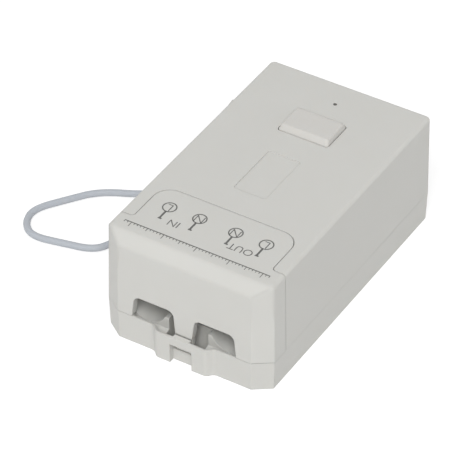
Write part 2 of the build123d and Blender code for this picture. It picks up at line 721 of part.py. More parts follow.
# Program button: a hollow cap with a flange that keeps it in, and a post that meets the switch
with BuildPart() as program_button:
    flange_top = ceiling_z - FIT
    flange_low = flange_top - BUTTON_FLANGE
    with BuildSketch(Plane.XY.offset(flange_low)):
        with Locations((0, button_y)):
            RectangleRounded(
                BUTTON_WIDTH + 2 * BUTTON_FLANGE, BUTTON_LENGTH + 2 * BUTTON_FLANGE, BUTTON_R
            )
    extrude(amount=BUTTON_FLANGE)
    with BuildSketch(Plane.XY.offset(flange_top)):
        with Locations((0, button_y)):
            RectangleRounded(BUTTON_WIDTH, BUTTON_LENGTH, BUTTON_R)
    extrude(amount=BODY_HEIGHT - flange_top)
    for level, side_lean, front_lean, rear_lean in (
        (BODY_HEIGHT, 0, 0, 0),
        (button_top_z, BUTTON_SIDE_LEAN, BUTTON_FRONT_LEAN, BUTTON_REAR_LEAN),
    ):
        with BuildSketch(Plane.XY.offset(level)):
            with Locations((0, button_y + (front_lean - rear_lean) / 2)):
                RectangleRounded(
                    BUTTON_WIDTH - 2 * side_lean, BUTTON_LENGTH - front_lean - rear_lean, BUTTON_R
                )
    loft()
    fillet(program_button.faces().sort_by(Axis.Z)[-1].edges(), BUTTON_EDGE_R)
    with BuildSketch(Plane.XY.offset(flange_low)):
        with Locations((0, button_y)):
            RectangleRounded(
                BUTTON_WIDTH - 2 * BUTTON_WALL, BUTTON_LENGTH - 2 * BUTTON_WALL, MIN_CORNER_R
            )
    extrude(amount=BODY_HEIGHT - flange_low, mode=Mode.SUBTRACT)
    upright(0, button_y, plunger_top_z + 0.02, BODY_HEIGHT + FIT, BUTTON_POST_R)
program_button.part.label = "program_button"
export_step(program_button.part, "parts/program_button.step")

# Tactile switch under the button
with BuildPart() as tact_switch_body:
    with BuildSketch(Plane.XY.offset(control_top_z)):
        with Locations((0, button_y)):
            Rectangle(SWITCH_SIZE, SWITCH_SIZE)
    extrude(amount=SWITCH_HEIGHT)
    chamfer(tact_switch_body.faces().sort_by(Axis.Z)[-1].edges(), SWITCH_CHAMFER)
    plunger_seat_z = control_top_z + SWITCH_HEIGHT - PLUNGER_SUNK - SWITCH_TRAVEL - FIT
    upright(
        0, button_y, plunger_seat_z, control_top_z + SWITCH_HEIGHT + FIT, PLUNGER_R + FIT, Mode.SUBTRACT
    )
tact_switch_body.part.label = "tact_switch_body"
export_step(tact_switch_body.part, "parts/tact_switch_body.step")

with BuildPart() as tact_switch_plunger:
    upright(0, button_y, control_top_z + SWITCH_HEIGHT - PLUNGER_SUNK, plunger_top_z, PLUNGER_R)
tact_switch_plunger.part.label = "tact_switch_plunger"
export_step(tact_switch_plunger.part, "parts/tact_switch_plunger.step")

# Indicator lamp under the pinhole
with BuildPart() as indicator_led:
    upright(0, pinhole_y, control_top_z, control_top_z + LED_FLANGE_HEIGHT, LED_R + LED_FLANGE)
    upright(0, pinhole_y, control_top_z, control_top_z + LED_HEIGHT - LED_R, LED_R)
    with Locations((0, pinhole_y, control_top_z + LED_HEIGHT - LED_R)):
        Sphere(LED_R, arc_size1=0)
indicator_led.part.label = "indicator_led"
export_step(indicator_led.part, "parts/indicator_led.step")

# Power board, notched round the case bosses, with slots for the terminal contacts
pole_xs = [side * (pole_inner_x + step * POLE_PITCH) for side in (-1, 1) for step in (0, 1)]
pole_names = ("in_neutral", "in_live", "out_neutral", "out_live")
contact_leg_y = pole_y + CAGE_LENGTH / 2 + CONTACT_THICK + LEG_CLEAR
with BuildPart() as power_board:
    box_between(
        (-power_board_half, power_board_front, POWER_BOARD_Z),
        (power_board_half, power_board_rear, power_top_z),
    )
    for side in (-1, 1):
        for y in case_screw_ys:
            upright(
                side * case_screw_x, y, 0, control_board_z, CASE_BOSS_R + BOARD_NOTCH, Mode.SUBTRACT
            )
    for x in pole_xs:
        square_post(
            x, contact_leg_y - CONTACT_THICK / 2, 0, control_board_z, CONTACT_PIN + 2 * FIT, Mode.SUBTRACT
        )
    for index in range(HEADER_PINS):
        x = (index - (HEADER_PINS - 1) / 2) * HEADER_PITCH
        square_post(x, header_y, 0, control_board_z, HEADER_PIN + 2 * FIT, Mode.SUBTRACT)
power_board.part.label = "power_board"
export_step(power_board.part, "parts/power_board.step")

# Control board, hung under the housing's posts
with BuildPart() as control_board:
    box_between(
        (-CONTROL_BOARD_WIDTH / 2, control_board_front, control_board_z),
        (CONTROL_BOARD_WIDTH / 2, control_board_rear, control_top_z),
    )
    fillet(control_board.edges().filter_by(Axis.Z), REAR_CORNER_R)
    for side in (-1, 1):
        for y in control_post_ys:
            upright(side * CONTROL_POST_X, y, 0, BODY_HEIGHT, BOARD_SCREW_R + FIT, Mode.SUBTRACT)
    for y in (AERIAL_OUT_Y, AERIAL_IN_Y):
        upright(aerial_lead_x, y, 0, BODY_HEIGHT, AERIAL_LEAD_R + FIT, Mode.SUBTRACT)
    for index in range(HEADER_PINS):
        x = (index - (HEADER_PINS - 1) / 2) * HEADER_PITCH
        square_post(x, header_y, 0, BODY_HEIGHT, HEADER_PIN + 2 * FIT, Mode.SUBTRACT)
control_board.part.label = "control_board"
export_step(control_board.part, "parts/control_board.step")

# Header between the boards: two insulating combs, and the pins through them
with BuildPart() as board_header:
    comb_half = HEADER_PINS * HEADER_PITCH / 2
    for low in (power_top_z, control_board_z - HEADER_COMB):
        box_between(
            (-comb_half, header_y - HEADER_PITCH / 2, low),
            (comb_half, header_y + HEADER_PITCH / 2, low + HEADER_COMB),
        )
    for index in range(HEADER_PINS):
        x = (index - (HEADER_PINS - 1) / 2) * HEADER_PITCH
        square_post(x, header_y, 0, BODY_HEIGHT, HEADER_PIN + FIT, Mode.SUBTRACT)
board_header.part.label = "board_header"
export_step(board_header.part, "parts/board_header.step")

with BuildPart() as header_pins:
    for index in range(HEADER_PINS):
        x = (index - (HEADER_PINS - 1) / 2) * HEADER_PITCH
        square_post(x, header_y, POWER_BOARD_Z - PIN_TAIL, control_top_z + PIN_TAIL, HEADER_PIN)
header_pins.part.label = "header_pins"
export_step(header_pins.part, "parts/header_pins.step")

# Parts that stand on the power board
with BuildPart() as relay:
    with BuildSketch(Plane.XY.offset(power_top_z)):
        with Locations(RELAY_AT):
            Rectangle(RELAY_WIDTH, RELAY_LENGTH)
    extrude(amount=RELAY_HEIGHT)
    fillet(relay.edges().filter_by(Axis.Z) + relay.faces().sort_by(Axis.Z)[-1].edges(), RELAY_R)
relay.part.label = "relay"
export_step(relay.part, "parts/relay.step")

with BuildPart() as film_capacitor:
    with BuildSketch(Plane.XY.offset(power_top_z)):
        with Locations(FILM_AT):
            Rectangle(FILM_WIDTH, FILM_LENGTH)
    extrude(amount=FILM_HEIGHT)
    chamfer(film_capacitor.faces().sort_by(Axis.Z)[-1].edges(), RELAY_R)
film_capacitor.part.label = "film_capacitor"
export_step(film_capacitor.part, "parts/film_capacitor.step")

with BuildPart() as electrolytic_capacitors:
    for x, y, radius, height in CAN_CAPACITORS:
        upright(x, y, power_top_z, power_top_z + height, radius)
    rims = electrolytic_capacitors.faces().filter_by(Axis.Z).sort_by(Axis.Z)[-2:].edges()
    chamfer(rims, CAN_RIM)
electrolytic_capacitors.part.label = "electrolytic_capacitors"
export_step(electrolytic_capacitors.part, "parts/electrolytic_capacitors.step")

core_x, core_y = CORE_AT
core_top_z = power_top_z + CORE_LIFT + CORE_HEIGHT
winding_half = CORE_LENGTH / 2 - CORE_LEG
with BuildPart() as transformer_core:
    box_between(
        (core_x - CORE_WIDTH / 2, core_y - CORE_LENGTH / 2, power_top_z + CORE_LIFT),
        (core_x + CORE_WIDTH / 2, core_y + CORE_LENGTH / 2, core_top_z),
    )
    fillet(transformer_core.edges().filter_by(Axis.X), MIN_CORNER_R)
    window_low = power_top_z + CORE_LIFT + CORE_LEG
    box_between(
        (core_x - CORE_WIDTH, core_y - winding_half, window_low),
        (core_x + CORE_WIDTH, core_y + winding_half, core_top_z - CORE_LEG),
        mode=Mode.SUBTRACT,
    )
transformer_core.part.label = "transformer_core"
export_step(transformer_core.part, "parts/transformer_core.step")

with BuildPart() as transformer_winding:
    box_between(
        (core_x - CORE_WIDTH / 2 - WINDING_PROUD, core_y - winding_half + FIT, window_low + FIT),
        (core_x + CORE_WIDTH / 2 + WINDING_PROUD, core_y + winding_half - FIT, core_top_z - CORE_LEG - FIT),
    )
    for side in (-1, 1):
        near, far = sorted((side * (CORE_WIDTH / 2 + FIT), side * (CORE_WIDTH / 2 + WINDING_PROUD + 1)))
        box_between(
            (core_x + near, core_y - CORE_LENGTH / 2, power_top_z),
            (core_x + far, core_y + CORE_LENGTH / 2, window_low + CORE_LEG / 2),
        )
transformer_winding.part.label = "transformer_winding"
export_step(transformer_winding.part, "parts/transformer_winding.step")

with BuildPart() as fuse:
    upright(*FUSE_AT, power_top_z, power_top_z + FUSE_HEIGHT, FUSE_R)
    chamfer(fuse.edges().group_by(Axis.Z)[-1], RELAY_R)
fuse.part.label = "fuse"
export_step(fuse.part, "parts/fuse.step")

with BuildPart() as varistor:
    x, y = VARISTOR_AT
    with Locations(Location((x, y, power_top_z + VARISTOR_R), (0, 90, 0))):
        Cylinder(VARISTOR_R, VARISTOR_THICK)
    chamfer(varistor.faces().filter_by(Axis.X).edges(), VARISTOR_RIM)
varistor.part.label = "varistor"
export_step(varistor.part, "parts/varistor.step")

with BuildPart() as bridge_rectifier:
    with BuildSketch(Plane.XY.offset(power_top_z)):
        with Locations(BRIDGE_AT):
            Rectangle(BRIDGE_WIDTH, BRIDGE_LENGTH)
    extrude(amount=BRIDGE_HEIGHT)
    chamfer(bridge_rectifier.faces().sort_by(Axis.Z)[-1].edges(), RELAY_R)
bridge_rectifier.part.label = "bridge_rectifier"
export_step(bridge_rectifier.part, "parts/bridge_rectifier.step")

with BuildPart() as choke:
    with BuildSketch(Plane.XZ) as bobbin:
        with BuildLine():
            Polyline(
                (0, power_top_z),
                (CHOKE_R, power_top_z),
                (CHOKE_R, power_top_z + CHOKE_FLANGE),
                (CHOKE_R - CHOKE_FLANGE / 2, power_top_z + CHOKE_FLANGE),
                (CHOKE_R - CHOKE_FLANGE / 2, power_top_z + CHOKE_HEIGHT - CHOKE_FLANGE),
                (CHOKE_R, power_top_z + CHOKE_HEIGHT - CHOKE_FLANGE),
                (CHOKE_R, power_top_z + CHOKE_HEIGHT),
                (0, power_top_z + CHOKE_HEIGHT),
                close=True,
            )
        make_face()
    revolve(axis=Axis.Z)
choke.part = choke.part.moved(Location((*CHOKE_AT, 0)))
choke.part.label = "choke"
export_step(choke.part, "parts/choke.step")

# Parts on the control board
with BuildPart() as microcontroller:
    with BuildSketch(Plane.XY.offset(control_top_z)):
        with Locations(CHIP_AT):
            Rectangle(CHIP_WIDTH, CHIP_LENGTH)
    extrude(amount=CHIP_HEIGHT)
    chamfer(microcontroller.faces().sort_by(Axis.Z)[-1].edges(), FIT)
    for index in range(CHIP_LEGS):
        leg_y = CHIP_AT[1] + (index - (CHIP_LEGS - 1) / 2) * CHIP_PITCH
        box_between(
            (CHIP_AT[0] - CHIP_WIDTH / 2 - CHIP_LEG, leg_y - CHIP_PITCH / 6, control_top_z),
            (
                CHIP_AT[0] + CHIP_WIDTH / 2 + CHIP_LEG,
                leg_y + CHIP_PITCH / 6,
                control_top_z + CHIP_HEIGHT / 2,
            ),
        )
microcontroller.part.label = "microcontroller"
export_step(microcontroller.part, "parts/microcontroller.step")

with BuildPart() as radio_can:
    with BuildSketch(Plane.XY.offset(control_top_z)):
        with Locations(CAN_AT):
            RectangleRounded(CAN_SIZE, CAN_SIZE, MIN_CORNER_R)
    extrude(amount=CAN_HEIGHT)
    fillet(radio_can.faces().sort_by(Axis.Z)[-1].edges(), MIN_CORNER_R / 2)
radio_can.part.label = "radio_can"
export_step(radio_can.part, "parts/radio_can.step")

with BuildPart() as crystal:
    with BuildSketch(Plane.XY.offset(control_top_z)):
        with Locations(CRYSTAL_AT):
            SlotOverall(CRYSTAL_LENGTH + FIT * 6, CRYSTAL_WIDTH + FIT * 6)
    extrude(amount=MIN_CORNER_R)
    with BuildSketch(Plane.XY.offset(control_top_z)):
        with Locations(CRYSTAL_AT):
            SlotOverall(CRYSTAL_LENGTH, CRYSTAL_WIDTH)
    extrude(amount=CRYSTAL_HEIGHT)
crystal.part.label = "crystal"
export_step(crystal.part, "parts/crystal.step")

# Terminal blocks: two poles each, with a round wire hole, a chamber and a screw shaft per pole
wire_z = power_top_z + WIRE_HOLE_HEIGHT
block_front = pole_y - BLOCK_LENGTH / 2 + BLOCK_SHIFT
block_rear = block_front + BLOCK_LENGTH
block_top = power_top_z + BLOCK_HEIGHT
chamber_half = CAGE_WIDTH / 2 + CAGE_CLEAR
cage_low = wire_z - WIRE_HOLE_R - CAGE_WALL - FIT
contact_low = wire_z + WIRE_HOLE_R + FIT
contact_top = contact_low + CONTACT_THICK
cage_top = contact_top + FIT + CAGE_WALL
head_low = cage_top + CAGE_RISE + FIT
for block_name, side in (("terminal_block_in", -1), ("terminal_block_out", 1)):
    with BuildPart() as terminal_block:
        near, far = sorted(
            (side * (pole_inner_x - POLE_PITCH / 2), side * (pole_inner_x + 1.5 * POLE_PITCH))
        )
        box_between((near, block_front, power_top_z), (far, block_rear, block_top))
        top_edges = terminal_block.faces().sort_by(Axis.Z)[-1].edges()
        chamfer(top_edges.filter_by(Axis.X), MIN_CORNER_R)
        for step in (0, 1):
            x = side * (pole_inner_x + step * POLE_PITCH)
            box_between(
                (x - chamber_half, block_front + BLOCK_FRONT_WALL, cage_low - FIT),
                (x + chamber_half, contact_leg_y + FIT, head_low),
                mode=Mode.SUBTRACT,
            )
            upright(x, pole_y, cage_low, block_top + FIT, TERMINAL_HEAD_R + FIT, Mode.SUBTRACT)
            box_between(
                (x - CONTACT_WIDTH / 2 - FIT, contact_leg_y - CONTACT_THICK - FIT, power_top_z - FIT),
                (x + CONTACT_WIDTH / 2 + FIT, contact_leg_y + FIT, cage_low),
                mode=Mode.SUBTRACT,
            )
            with Locations(Location((x, block_front, wire_z), (90, 0, 0))):
                Cylinder(WIRE_HOLE_R, 3 * BLOCK_FRONT_WALL, mode=Mode.SUBTRACT)
    terminal_block.part.label = block_name
    export_step(terminal_block.part, f"parts/{block_name}.step")

# Contacts: a bar through each cage, with a leg down to the board and a pin through it
with BuildPart() as terminal_contacts:
    for x in pole_xs:
        box_between(
            (x - CONTACT_WIDTH / 2, block_front + BLOCK_FRONT_WALL + FIT, contact_low),
            (x + CONTACT_WIDTH / 2, contact_leg_y, contact_top),
        )
        box_between(
            (x - CONTACT_WIDTH / 2, contact_leg_y - CONTACT_THICK, power_top_z),
            (x + CONTACT_WIDTH / 2, contact_leg_y, contact_top),
        )
        square_post(
            x, contact_leg_y - CONTACT_THICK / 2, POWER_BOARD_Z - PIN_TAIL, power_top_z + FIT, CONTACT_PIN
        )
terminal_contacts.part.label = "terminal_contacts"
export_step(terminal_contacts.part, "parts/terminal_contacts.step")

# A rising cage and a screw for each pole
for pole_name, x in zip(pole_names, pole_xs):
    with BuildPart() as cage:
        box_between(
            (x - CAGE_WIDTH / 2, pole_y - CAGE_LENGTH / 2, cage_low),
            (x + CAGE_WIDTH / 2, pole_y + CAGE_LENGTH / 2, cage_top),
        )
        fillet(cage.edges().filter_by(Axis.Y), MIN_CORNER_R)
        box_between(
            (x - CAGE_WIDTH / 2 + CAGE_WALL, pole_y - CAGE_LENGTH, cage_low + CAGE_WALL),
            (x + CAGE_WIDTH / 2 - CAGE_WALL, pole_y + CAGE_LENGTH, cage_top - CAGE_WALL),
            mode=Mode.SUBTRACT,
        )
        upright(x, pole_y, contact_top, head_low, TERMINAL_SCREW_R + FIT / 2, Mode.SUBTRACT)
    cage.part.label = f"terminal_cage_{pole_name}"
    export_step(cage.part, f"parts/terminal_cage_{pole_name}.step")

    with BuildPart() as screw:
        upright(x, pole_y, contact_top + FIT / 2, head_low + FIT, TERMINAL_SCREW_R)
        upright(x, pole_y, head_low, head_low + TERMINAL_HEAD_HEIGHT, TERMINAL_HEAD_R)
        head_top = head_low + TERMINAL_HEAD_HEIGHT
        box_between(
            (x - TERMINAL_HEAD_R, pole_y - SCREW_SLOT / 2, head_top - SCREW_SLOT),
            (x + TERMINAL_HEAD_R, pole_y + SCREW_SLOT / 2, head_top + FIT),
            mode=Mode.SUBTRACT,
        )
    screw.part.label = f"terminal_screw_{pole_name}"
    export_step(screw.part, f"parts/terminal_screw_{pole_name}.step")

# Cable clamps, each a toothed bar held by two screws
clamp_top = CLAMP_SEAT_Z + CLAMP_THICK
for clamp_name, side in (("in", -1), ("out", 1)):
    x = side * trough_x
    with BuildPart() as clamp:
        with BuildSketch(Plane.XY.offset(CLAMP_SEAT_Z)):
            with Locations((x, clamp_y)):
                SlotOverall(2 * CLAMP_REACH + CLAMP_WIDTH, CLAMP_WIDTH)
        extrude(amount=CLAMP_THICK)
        for tooth_y in (clamp_y - CLAMP_WIDTH / 4, clamp_y + CLAMP_WIDTH / 4):
            box_between(
                (x - CLAMP_TOOTH_HALF, tooth_y - CLAMP_TOOTH / 2, CLAMP_SEAT_Z - CLAMP_TOOTH),
                (x + CLAMP_TOOTH_HALF, tooth_y + CLAMP_TOOTH / 2, CLAMP_SEAT_Z + FIT),
            )
        for reach in (-CLAMP_REACH, CLAMP_REACH):
            upright(x + reach, clamp_y, 0, BODY_HEIGHT, CLAMP_SCREW_R + FIT, Mode.SUBTRACT)
    clamp.part.label = f"cable_clamp_{clamp_name}"
    export_step(clamp.part, f"parts/cable_clamp_{clamp_name}.step")

    with BuildPart() as clamp_screws:
        for reach in (-CLAMP_REACH, CLAMP_REACH):
            upright(x + reach, clamp_y, clamp_top - CLAMP_SCREW_LENGTH, clamp_top + FIT, CLAMP_SCREW_R)
            upright(x + reach, clamp_y, clamp_top, clamp_top + CLAMP_HEAD_HEIGHT, CLAMP_HEAD_R)
    clamp_screws.part.label = f"clamp_screws_{clamp_name}"
    export_step(clamp_screws.part, f"parts/clamp_screws_{clamp_name}.step")

# Case screws and control board screws
with BuildPart() as case_screws:
    for side in (-1, 1):
        for y in case_screw_ys:
            x = side * case_screw_x
            upright(x, y, CASE_HEAD_Z - CASE_HEAD_HEIGHT, CASE_HEAD_Z, CASE_HEAD_R)
            upright(x, y, CASE_HEAD_Z - FIT, CASE_HEAD_Z + CASE_SCREW_LENGTH, CASE_SCREW_R)
case_screws.part.label = "case_screws"
export_step(case_screws.part, "parts/case_screws.step")

with BuildPart() as board_screws:
    for side in (-1, 1):
        for y in control_post_ys:
            x = side * CONTROL_POST_X
            upright(x, y, control_board_z - BOARD_HEAD_HEIGHT, control_board_z, BOARD_HEAD_R)
            upright(x, y, control_board_z - FIT, control_board_z + BOARD_SCREW_LENGTH, BOARD_SCREW_R)
board_screws.part.label = "board_screws"
export_step(board_screws.part, "parts/board_screws.step")

# Aerial leads inside, from the wall holes up to the control board
aerial_end_x = -(inner_wall_x - FIT)
with BuildPart() as aerial_leads:
    for y in (AERIAL_OUT_Y, AERIAL_IN_Y):
        with BuildLine() as lead_path:
            FilletPolyline(
                (aerial_end_x, y, AERIAL_HOLE_Z),
                (aerial_lead_x, y, AERIAL_HOLE_Z),
                (aerial_lead_x, y, control_top_z + PIN_TAIL / 2),
                radius=AERIAL_LEAD_BEND,
            )
        with BuildSketch(Plane(origin=(aerial_end_x, y, AERIAL_HOLE_Z), z_dir=(1, 0, 0))):
            Circle(AERIAL_LEAD_R)
        sweep(path=lead_path.line)
aerial_leads.part.label = "aerial_leads"
export_step(aerial_leads.part, "parts/aerial_leads.step")

# Aerial wire outside: a loop that lies on the surface that the case stands on
AERIAL_ROUTE = (
    (aerial_end_x, AERIAL_OUT_Y, AERIAL_HOLE_Z),
    (aerial_end_x - AERIAL_STUB, AERIAL_OUT_Y, AERIAL_HOLE_Z),
    (-36.0, 19.3, 8.0),
    (-40.6, 14.6, 1.9),
    (-46.5, 10.0, 1.02),
    (-57.6, 3.7, 1.02),
    (-63.3, -4.2, 1.02),
    (-68.4, -13.3, 1.02),
    (-67.4, -19.0, 1.02),
    (-62.7, -22.2, 1.02),
    (-53.8, -20.6, 1.02),
    (-45.2, -18.1, 1.02),
    (-42.3, -12.6, 1.02),
    (-38.6, -4.6, 2.6),
    (-35.5, 1.5, 8.2),
    (aerial_end_x - AERIAL_STUB, AERIAL_IN_Y, AERIAL_HOLE_Z),
    (aerial_end_x, AERIAL_IN_Y, AERIAL_HOLE_Z),
)
route = [Vector(*point) for point in AERIAL_ROUTE]
bend_radii = []
for before, corner, after in zip(route, route[1:], route[2:]):
    shorter = min((corner - before).length, (after - corner).length)
    half_turn = math.radians((corner - before).get_angle(after - corner)) / 2
    bend_radii.append(0.45 * shorter / math.tan(half_turn))
print("aerial bend radii", [round(radius, 1) for radius in bend_radii])
with BuildPart() as aerial_wire:
    with BuildLine() as wire_path:
        FilletPolyline(*route, radius=bend_radii)
    with BuildSketch(Plane(origin=route[0], z_dir=(-1, 0, 0))):
        Circle(AERIAL_R)
    sweep(path=wire_path.line)
wire_length = wire_path.wires()[0].length
print("aerial length", round(wire_length, 1), "volume over section times length",
      round(aerial_wire.part.volume / (math.pi * AERIAL_R ** 2 * wire_length), 4))
aerial_wire.part.label = "aerial_wire"
export_step(aerial_wire.part, "parts/aerial_wire.step")
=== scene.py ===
"""Looks of the radio receiver module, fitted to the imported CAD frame."""
import logging
import math
from collections.abc import Callable, Iterator, Sequence
from contextlib import contextmanager
from dataclasses import dataclass, replace
from enum import Enum
from functools import cached_property

import bmesh
import bpy
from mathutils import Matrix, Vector


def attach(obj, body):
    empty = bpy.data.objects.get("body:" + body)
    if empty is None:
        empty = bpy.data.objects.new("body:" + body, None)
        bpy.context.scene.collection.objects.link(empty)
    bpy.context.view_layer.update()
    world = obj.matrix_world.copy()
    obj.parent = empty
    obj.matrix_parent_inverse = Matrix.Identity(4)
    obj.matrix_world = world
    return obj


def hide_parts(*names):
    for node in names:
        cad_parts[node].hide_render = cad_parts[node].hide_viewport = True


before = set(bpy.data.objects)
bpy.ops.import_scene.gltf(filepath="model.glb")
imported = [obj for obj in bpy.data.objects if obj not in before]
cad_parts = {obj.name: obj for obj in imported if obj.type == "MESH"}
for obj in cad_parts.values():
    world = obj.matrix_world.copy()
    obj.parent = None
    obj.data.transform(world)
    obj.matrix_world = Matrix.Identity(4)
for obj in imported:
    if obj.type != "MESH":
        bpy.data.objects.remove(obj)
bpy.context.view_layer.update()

log = logging.getLogger("receiver")

Colour = tuple[float, float, float]
Point = tuple[float, float, float]
Piece = bpy.types.Object
Node = bpy.types.Node
Socket = bpy.types.NodeSocket
Outputs = bpy.types.NodeOutputs
Material = bpy.types.Material

# A millimetre in metres, how near places count as one, and the least Z of a level face's normal
MM = 0.001
NEAR = 0.01
LEVEL = 0.9


class Body(Enum):
    """Moving bodies that a new piece can ride on."""

    CASE = "case"
    COVER = "cover"
    CLAMP_IN = "clamp_in"
    CLAMP_OUT = "clamp_out"


class Slot(Enum):
    """Material slot names; no piece in this script takes its finish from them."""

    AERIAL = "aerial_sheath"
    STEEL = "screw_steel"


class Turn(Enum):
    """Which way a screw's head looks, as a turn about X."""

    UP = 0.0
    DOWN = math.pi


def set_up(thing: object, **settings: object) -> None:
    """Sets several properties of one thing."""
    for key, value in settings.items():
        setattr(thing, key, value)


# Modelling bench, where one unit is a millimetre


def pick_up(piece: Piece) -> None:
    """Makes one object the only selected and active one.

    Args:
        piece: The object to pick up.
    """
    for other in bpy.context.selected_objects:
        other.select_set(False)
    piece.select_set(True)
    bpy.context.view_layer.objects.active = piece


def fresh(name: str) -> Piece:
    """Names the object that an operator has just added.

    Args:
        name: The piece's name.

    Returns:
        The new object, selected and active.
    """
    piece = bpy.context.active_object
    piece.name = name
    piece.data.name = name
    pick_up(piece)
    return piece


def freeze() -> None:
    """Moves the active piece's place, turn and scale into its mesh."""
    bpy.ops.object.transform_apply(location=True, rotation=True, scale=True)


@contextmanager
def shaping(piece: Piece, mode: str, action: str = "DESELECT") -> Iterator[None]:
    """Opens edit mode on a piece, and closes it afterwards.

    Args:
        piece: The object to shape.
        mode: What is picked in edit mode: VERT, EDGE or FACE.
        action: DESELECT starts with nothing selected, SELECT with everything.
    """
    pick_up(piece)
    bpy.ops.object.mode_set(mode="EDIT")
    bpy.ops.mesh.select_mode(type=mode)
    bpy.ops.mesh.select_all(action=action)
    yield
    bpy.ops.object.mode_set(mode="OBJECT")


def pick(piece: Piece, parts: str, test: Callable[..., bool]) -> None:
    """Selects parts of a mesh in edit mode.

    Args:
        piece: The object in edit mode.
        parts: "faces", tested by their normal, or "edges", tested by their two ends.
        test: Says whether a part is wanted.
    """
    mesh = bmesh.from_edit_mesh(piece.data)
    for part in getattr(mesh, parts):
        given = (part.normal,) if parts == "faces" else (end.co for end in part.verts)
        part.select_set(test(*given))
    mesh.select_flush_mode()
    bmesh.update_edit_mesh(piece.data)


def push_out(x: float = 0.0, y: float = 0.0, z: float = 0.0) -> None:
    """Extrudes what is selected by a distance along the axes."""
    bpy.ops.mesh.extrude_region_move(TRANSFORM_OT_translate={"value": (x, y, z)})


def swell(share: float, height: float = 0.0) -> None:
    """Scales what is selected at a height about the bench's upright axis, by new radius over old."""
    bpy.ops.transform.resize(value=(share, share, 1.0), center_override=(0.0, 0.0, height))


def close_up(piece: Piece) -> None:
    """Merges a piece's doubles and turns its faces outwards.

    Args:
        piece: The object to close.
    """
    with shaping(piece, "VERT", "SELECT"):
        bpy.ops.mesh.remove_doubles(threshold=1e-4)
        bpy.ops.mesh.normals_make_consistent(inside=False)


def cut_with(piece: Piece, tool: Piece) -> None:
    """Cuts one piece by another and throws the tool away.

    Args:
        piece: The object that is cut.
        tool: The closed object that cuts it.
    """
    cut = piece.modifiers.new("cut", "BOOLEAN")
    set_up(cut, operation="DIFFERENCE", solver="EXACT", object=tool)
    pick_up(piece)
    bpy.ops.object.modifier_apply(modifier=cut.name)
    bpy.data.objects.remove(tool)


def join_pieces(pieces: Sequence[Piece], name: str) -> Piece:
    """Joins several meshes into one piece.

    Args:
        pieces: The meshes, the first of which stays.
        name: The joined piece's name.

    Returns:
        The joined piece.
    """
    pick_up(pieces[0])
    for piece in pieces:
        piece.select_set(True)
    bpy.ops.object.join()
    return fresh(name)


def strip(width: float, near: float, far: float, x: float = 0.0) -> Piece:
    """Makes a flat strip on the bench.

    Args:
        width: Size along X.
        near: Its end towards +Y.
        far: Its end towards -Y.
        x: Its middle along X.

    Returns:
        The strip.
    """
    bpy.ops.mesh.primitive_plane_add(size=1.0, location=(x, (near + far) / 2, 0.0))
    piece = fresh("strip")
    piece.scale = (width, near - far, 1.0)
    freeze()
    return piece


def settle(piece: Piece, place: Point, smooth_deg: float = 32.0) -> Piece:
    """Brings a piece from the bench to its place, in metres and at the origin.

    Args:
        piece: The object as shaped, in millimetres.
        place: Where the bench's zero goes, in millimetres.
        smooth_deg: Edges flatter than this are shaded smooth; 0 leaves all flat.

    Returns:
        The same piece, with its place in its mesh.
    """
    pick_up(piece)
    freeze()
    piece.location = [value * MM for value in place]
    piece.scale = (MM, MM, MM)
    freeze()
    if smooth_deg:
        bpy.ops.object.shade_smooth_by_angle(angle=math.radians(smooth_deg))
    return piece


def twin(piece: Piece, name: str) -> Piece:
    """Copies a piece together with its mesh.

    Args:
        piece: The object to copy.
        name: The copy's name.

    Returns:
        The copy, with a mesh of its own.
    """
    mesh = piece.data.copy()
    mesh.name = name
    return add_object(name, mesh)


def add_object(name: str, data: bpy.types.ID) -> Piece:
    """Adds an object for data that no operator has made.

    Args:
        name: The object's name.
        data: What it holds.

    Returns:
        The new object.
    """
    piece = bpy.data.objects.new(name, data)
    bpy.context.scene.collection.objects.link(piece)
    return piece


def aim(piece: Piece, place: Point, heading: Vector) -> None:
    """Stands a camera or a lamp at its place.

    Args:
        piece: The camera or lamp.
        place: Where it stands, in metres.
        heading: The way it looks.
    """
    piece.location = place
    piece.rotation_mode = "QUATERNION"
    piece.rotation_quaternion = heading.to_track_quat("-Z", "Y")


# Shader sheets and the effects that several finishes share


